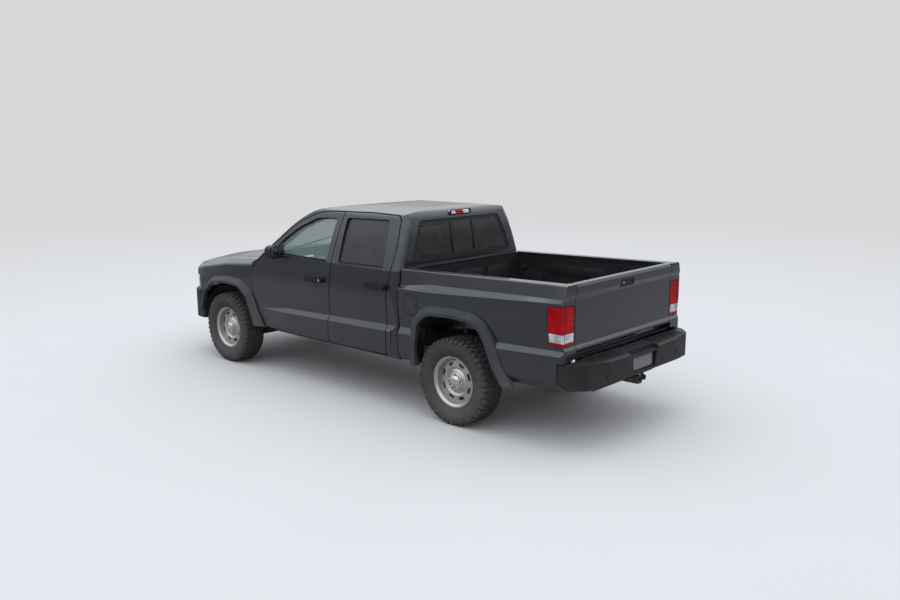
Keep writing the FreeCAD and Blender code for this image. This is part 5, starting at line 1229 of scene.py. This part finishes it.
def make_centre_stack():
    x = dash_x(0, 1020)
    panels = [block((x - 7, -100, low), (x + 4, 100, high), 3) for low, high in ((985, 1045), (905, 960))]
    settle(join(panels), "centre_controls", CABIN_DARK)
    knobs = [lathe(KNOB, 24, (x - 6, y, z), "X") for y, z in KNOBS]
    for i in range(6):
        knobs.append(block((x - 11, -58 + 20 * i, 992), (x - 6, -44 + 20 * i, 1000), 1.2, 1))
    settle(join(knobs), "centre_knobs", BLACK)


def make_dash_vents():
    vents = []
    for y in (-640, -60, 60, 640):
        x = dash_x(y, 1090)
        vents.append(plate(at_x(x, rect((y - 52, 1062), (y + 52, 1118))), (-7, 0, 0), 2, border=6))
        for i in range(5):
            vents.append(block((x - 5, y - 47, 1070 + 9 * i), (x - 1, y + 47, 1072.5 + 9 * i), 0.5, 1))
    settle(join(vents), "dash_vents", CABIN_DARK)


GLOVE_BOX = [(-560, 905), (-210, 905), (-205, 1010), (-565, 1010)]
LEVER_X = 560.0
LEVER_BOOT = [(0, 26), (10, 22), (14, 10), (90, 8), (96, 0)]
LEVER_KNOB = [(88, 0), (92, 20), (112, 25), (132, 18), (138, 0)]
CUP_HOLDER = [(0.5, 0), (0.5, 34), (4, 40), (1, 44), (0, 44)]
# pedals: y, half width
PEDALS = ((310, 30), (400, 46))
PEDAL_Z = 640.0


def make_dash_parts():
    make_cluster()
    make_centre_stack()
    make_dash_vents()
    x = dash_x(-385, 960)
    latch = block((x - 12, -410, 985), (x - 4, -360, 1000), 2)
    settle(join([plate(at_x(x, GLOVE_BOX), (-5, 0, 0), 6), latch]), "glove_box", CABIN)
    top = touch("dashboard", (500, 0, 1500), (0, 0, -1)).z
    foot = (LEVER_X, 0, top)
    lever = join([lathe(LEVER_BOOT, 24, foot, "Z"), lathe(LEVER_KNOB, 28, foot, "Z")])
    settle(lever, "shift_lever", CABIN_DARK)
    settle(join([lathe(CUP_HOLDER, 32, (x, 0, top), "Z") for x in (300, 400)]), "cup_holders", CABIN_DARK)
    pedals = []
    for y, half in PEDALS:
        pedals.append(block((1040, y - half, PEDAL_Z), (1056, y + half, PEDAL_Z + 90), 6))
        pedals.append(hose([(1052, y, PEDAL_Z + 60), (1080, y, PEDAL_Z + 150), (1120, y, PEDAL_Z + 300)], 8))
    settle(join(pedals), "pedals", SEAL)


# Doors' inner trim, headliner, visors, inner mirror and mats

TRIM_Y = 808.0
# each door's trim: outline, the arm rest's ends and height, the pocket's ends, foot and top
TRIMS = {
    "front": ([(170, 560), (1080, 560), (1120, 700), (1120, 1180), (1000, 1236), (170, 1236)],
              (250, 760, 900), (280, 880, 600, 720)),
    "rear": ([(-560, 700), (60, 560), (60, 1236), (-640, 1236), (-640, 1120), (-590, 1000)],
             (-520, -80, 905), (-490, -80, 720, 800)),
}


def make_door_trims():
    for side, sign in SIDES:
        for end, (shape, (rear, front, z), pocket) in TRIMS.items():
            door, name = f"door_{end}_{side}", f"_{end}_{side}"
            parts = [plate(at_y(sign * TRIM_Y, shape), (0, sign * -9, 0), 4)]
            parts.append(side_block(sign, (rear, TRIM_Y - 52, z - 26), (front, TRIM_Y - 8, z + 22), 14, 3))
            pocket_low, pocket_high = (pocket[0], TRIM_Y - 22, pocket[2]), (pocket[1], TRIM_Y - 6, pocket[3])
            parts.append(side_block(sign, pocket_low, pocket_high, 8))
            settle(join(parts), "door_trim" + name, CABIN, door)
            field = at_y(sign * (TRIM_Y - 8), rect((rear - 20, z + 50), (front + 60, z + 200)))
            settle(plate(field, (0, sign * -5, 0), 4), "door_cloth" + name, SEAT, door)
            pull = side_block(sign, (front - 20, TRIM_Y - 24, z + 90), (front + 80, TRIM_Y - 12, z + 112), 5)
            settle(pull, "door_pull" + name, CHROME, door)


INNER_MIRROR = [(-108, 1564), (108, 1564), (110, 1586), (104, 1610), (-104, 1610), (-110, 1586)]
# mats: rear and front end; bars stand across each
MATS = ((720, 1020), (-110, 60))
MAT_BARS = 8


def make_headliner():
    liner = block((-690, -520, 1686), (560, 520, 1694), 3)
    dish(liner, lambda centre, normal: normal.z < -0.9, (60, -2))
    settle(liner, "headliner", HEADLINER)
    visors = [block((470, y - 190, 1664), (610, y + 190, 1678), 6) for y in (-330, 330)]
    settle(join(visors), "sun_visors", HEADLINER)
    settle(block((180, -60, 1676), (300, 60, 1688), 5), "cabin_lamp", PLATE)
    x = touch("cab_glass", (400, 0, 1602), (1, 0, 0)).x
    mirror = join([block((x - 66, -120, 1556), (x - 40, 120, 1618), 12, 3),
                   hose([(x - 48, 0, 1600), (x - 26, 0, 1612), (x - 6, 0, 1606)], 8)])
    settle(mirror, "inner_mirror", CABIN_DARK)
    settle(plate(at_x(x - 66.5, INNER_MIRROR), (-1.5, 0, 0), 0.5), "inner_mirror_glass", MIRROR)


def make_mats():
    mats = []
    for y in (-385, 385):
        for low, high in MATS:
            mats.append(block((low, y - 200, 566), (high, y + 200, 573), 3))
            for i in range(MAT_BARS):
                x = low + 30 + (high - low - 60) / MAT_BARS * i
                mats.append(block((x, y - 170, 572), (x + 8, y + 170, 576), 1, 1))
    settle(join(mats), "floor_mats", SEAL)


# Engine bay

BATTERY_POST = [(0, 10), (16, 9), (18, 7), (18, 0)]
FILLER_CAP = [(0, 24), (14, 24), (18, 20), (18, 0)]
BOOSTER_PLACE = (1405, 385, 930)
BOOSTER = [(0, 0), (0, 110), (20, 118), (60, 112), (64, 0)]
BRAKE_CYLINDER = [(60, 26), (190, 24), (194, 0)]
FAN_Z = 800.0
FAN_X = 2400.0
FAN_BLADES = 9
SHROUD = [(0, 250), (0, 215), (-44, 210), (-48, 214), (-8, 220), (-6, 250)]
FAN_HUB = [(-20, 0), (-20, 50), (20, 64), (20, 0)]
INTAKE_HOSE = [(2140, -430, 900), (2080, -400, 930), (2000, -300, 985), (1900, -160, 1000), (1860, -60, 990)]
RADIATOR_HOSE = [(2440, 300, 940), (2330, 260, 960), (2200, 180, 950), (2085, 120, 900)]


def make_engine_bay():
    battery = [block((2170, 330, 740), (2390, 520, 925), 8), block((2166, 326, 915), (2394, 524, 945), 6)]
    battery += [lathe(BATTERY_POST, 16, (2200, y, 944), "Z") for y in (370, 480)]
    settle(join(battery), "battery", BLACK)
    air_filter = [block((2140, -560, 760), (2390, -330, 900), 14, 3),
                  block((2134, -566, 892), (2396, -324, 950), 16, 3)]
    settle(join(air_filter), "air_filter_box", BLACK)
    settle(hose(INTAKE_HOSE, 38, 8), "intake_hose", SEAL)
    settle(hose(RADIATOR_HOSE, 20, 8), "radiator_hose", SEAL)
    tank = [block((1580, 480, 880), (1760, 600, 1000), 20, 3), lathe(FILLER_CAP, 20, (1670, 540, 998), "Z")]
    settle(join(tank), "coolant_tank", PLATE)
    booster = [lathe(BOOSTER, 40, BOOSTER_PLACE, "X"), lathe(BRAKE_CYLINDER, 24, BOOSTER_PLACE, "X"),
               block((1480, 350, 946), (1580, 420, 1000), 10)]
    settle(join(booster), "brake_booster", CHASSIS)
    settle(lathe(SHROUD, 48, (2440, 0, FAN_Z), "X"), "fan_shroud", BLACK)
    twisted = [(FAN_X, -22, 60), (FAN_X, 28, 60), (FAN_X + 12, 52, 200), (FAN_X - 4, -40, 204)]
    blades = ring_of(plate(twisted, (6, 0, 0), 1.5, 1), FAN_BLADES, (FAN_X, 0, 0), "X")
    fan = join([blades, lathe(FAN_HUB, 32, (FAN_X - 4, 0, 0), "X")])
    settle(shift(fan, 0, 0, FAN_Z), "fan", BLACK)


make_wheels()
make_window_seals()
make_slider_frame()
make_mirror_plates()
make_belt_strips()
make_mirrors()
make_locks()
make_fuel_notch()
make_gate_handle()
make_bumper_pads()
make_bumper_face()
make_hitch_parts()
make_lamp_borders()
make_arch_liners()
make_bed_details()
make_wipers()
make_lamp_insides()
make_front_seats()
make_rear_bench()
make_steering_wheel()
make_dash_parts()
make_door_trims()
make_headliner()
make_mats()
make_engine_bay()
make_brakes()

# Stage, light and camera, in metres

FLOOR_HALF = 60.0
# how pale the floor and the backdrop are
FLOOR_TONE = 0.52
BACKDROP = 0.68
# how much light the floor throws back, and how much of its paleness shows in reflections
FLOOR_BOUNCE = 0.18
FLOOR_SHINE = 0.4
# where the floor starts to merge with the backdrop, and where it has merged
FADE_FROM = 5.0
FADE_TO = 19.0
# the light from just above the horizon and from overhead
SKY_LOW = grey(0.30)
SKY_HIGH = (1.55, 1.61, 1.72, 1.0)


def make_stage():
    bpy.ops.mesh.primitive_plane_add(size=2 * FLOOR_HALF, location=(0, 0, 0))
    floor = bpy.context.object
    floor.name = "studio_floor"
    material, tree, out = new_material("studio_floor", roughness=1.0, specular_ior_level=0.0)
    rays = add_node(tree, "ShaderNodeLightPath").outputs
    mirrored_part = times(tree, rays["Is Glossy Ray"], FLOOR_SHINE)
    seen = math_node(tree, "ADD", rays["Is Camera Ray"], mirrored_part, clamp=True)
    seen = math_node(tree, "ADD", seen, rays["Is Transmission Ray"], clamp=True)
    pale = mix_color(tree, noise(tree, 0.8, 2.0), grey(FLOOR_TONE - 0.01), grey(FLOOR_TONE + 0.01))
    far = add_node(tree, "ShaderNodeVectorMath", {0: object_place(tree)}, operation="LENGTH").outputs["Value"]
    far = remap(tree, far, FADE_FROM, FADE_TO)
    shade = mix_color(tree, seen, grey(FLOOR_BOUNCE), pale)
    connect(tree, mix_color(tree, far, shade, grey(0.0)), out["Base Color"])
    connect(tree, grey(BACKDROP), out["Emission Color"])
    connect(tree, times(tree, far, seen), out["Emission Strength"])
    floor.data.materials.append(material)


def make_world():
    world = bpy.data.worlds.new("studio")
    bpy.context.scene.world = world
    world.use_nodes = True
    tree = world.node_tree
    surface = tree.nodes["Background"]
    direction = add_node(tree, "ShaderNodeTexCoord").outputs["Generated"]
    up = add_node(tree, "ShaderNodeSeparateXYZ", {"Vector": direction}).outputs["Z"]
    shade = mix_color(tree, remap(tree, up, 0.0, 0.55), SKY_LOW, SKY_HIGH)
    rays = add_node(tree, "ShaderNodeLightPath").outputs["Is Camera Ray"]
    connect(tree, mix_color(tree, rays, shade, grey(BACKDROP)), surface.inputs["Color"])
    surface.inputs["Strength"].default_value = 1.0


SOFTBOX_PLACE = (-0.5, 1.0, 8.0)
SOFTBOX_AIM = (0, 0, 0.8)
SOFTBOX_SIZE = (8.0, 7.0)
SOFTBOX_POWER = 120.0


def make_softbox():
    bpy.ops.object.light_add(type="AREA", location=SOFTBOX_PLACE)
    lamp = bpy.context.object
    lamp.name = "sky_softbox"
    lamp.data.shape = "RECTANGLE"
    lamp.data.size, lamp.data.size_y = SOFTBOX_SIZE
    lamp.data.energy = SOFTBOX_POWER
    lamp.rotation_euler = (Vector(SOFTBOX_AIM) - Vector(SOFTBOX_PLACE)).to_track_quat("-Z", "Y").to_euler()


# where the photograph was taken from, in metres, degrees and millimetres of lens
CAMERA_PLACE = (-6.295, 6.206, 2.4215)
CAMERA_YAW = -47.56
CAMERA_PITCH = -10.51
CAMERA_ROLL = -0.26
CAMERA_LENS = 35.05
SENSOR_WIDTH = 36.0


def make_camera():
    yaw, pitch, roll = (math.radians(angle) for angle in (CAMERA_YAW, CAMERA_PITCH, CAMERA_ROLL))
    ahead = Vector((math.cos(pitch) * math.cos(yaw), math.cos(pitch) * math.sin(yaw), math.sin(pitch)))
    right = ahead.cross(Vector((0, 0, 1))).normalized()
    up = right.cross(ahead)
    right, up = right * math.cos(roll) + up * math.sin(roll), up * math.cos(roll) - right * math.sin(roll)
    axes = Matrix((right, up, -ahead)).transposed().to_4x4()
    bpy.ops.object.camera_add()
    camera = bpy.context.object
    camera.matrix_world = Matrix.Translation(CAMERA_PLACE) @ axes
    camera.data.lens = CAMERA_LENS
    camera.data.sensor_width = SENSOR_WIDTH
    camera.data.clip_end = 300.0
    bpy.context.scene.camera = camera


make_stage()
make_world()
make_softbox()
make_camera()
bpy.context.scene.view_settings.view_transform = "Standard"
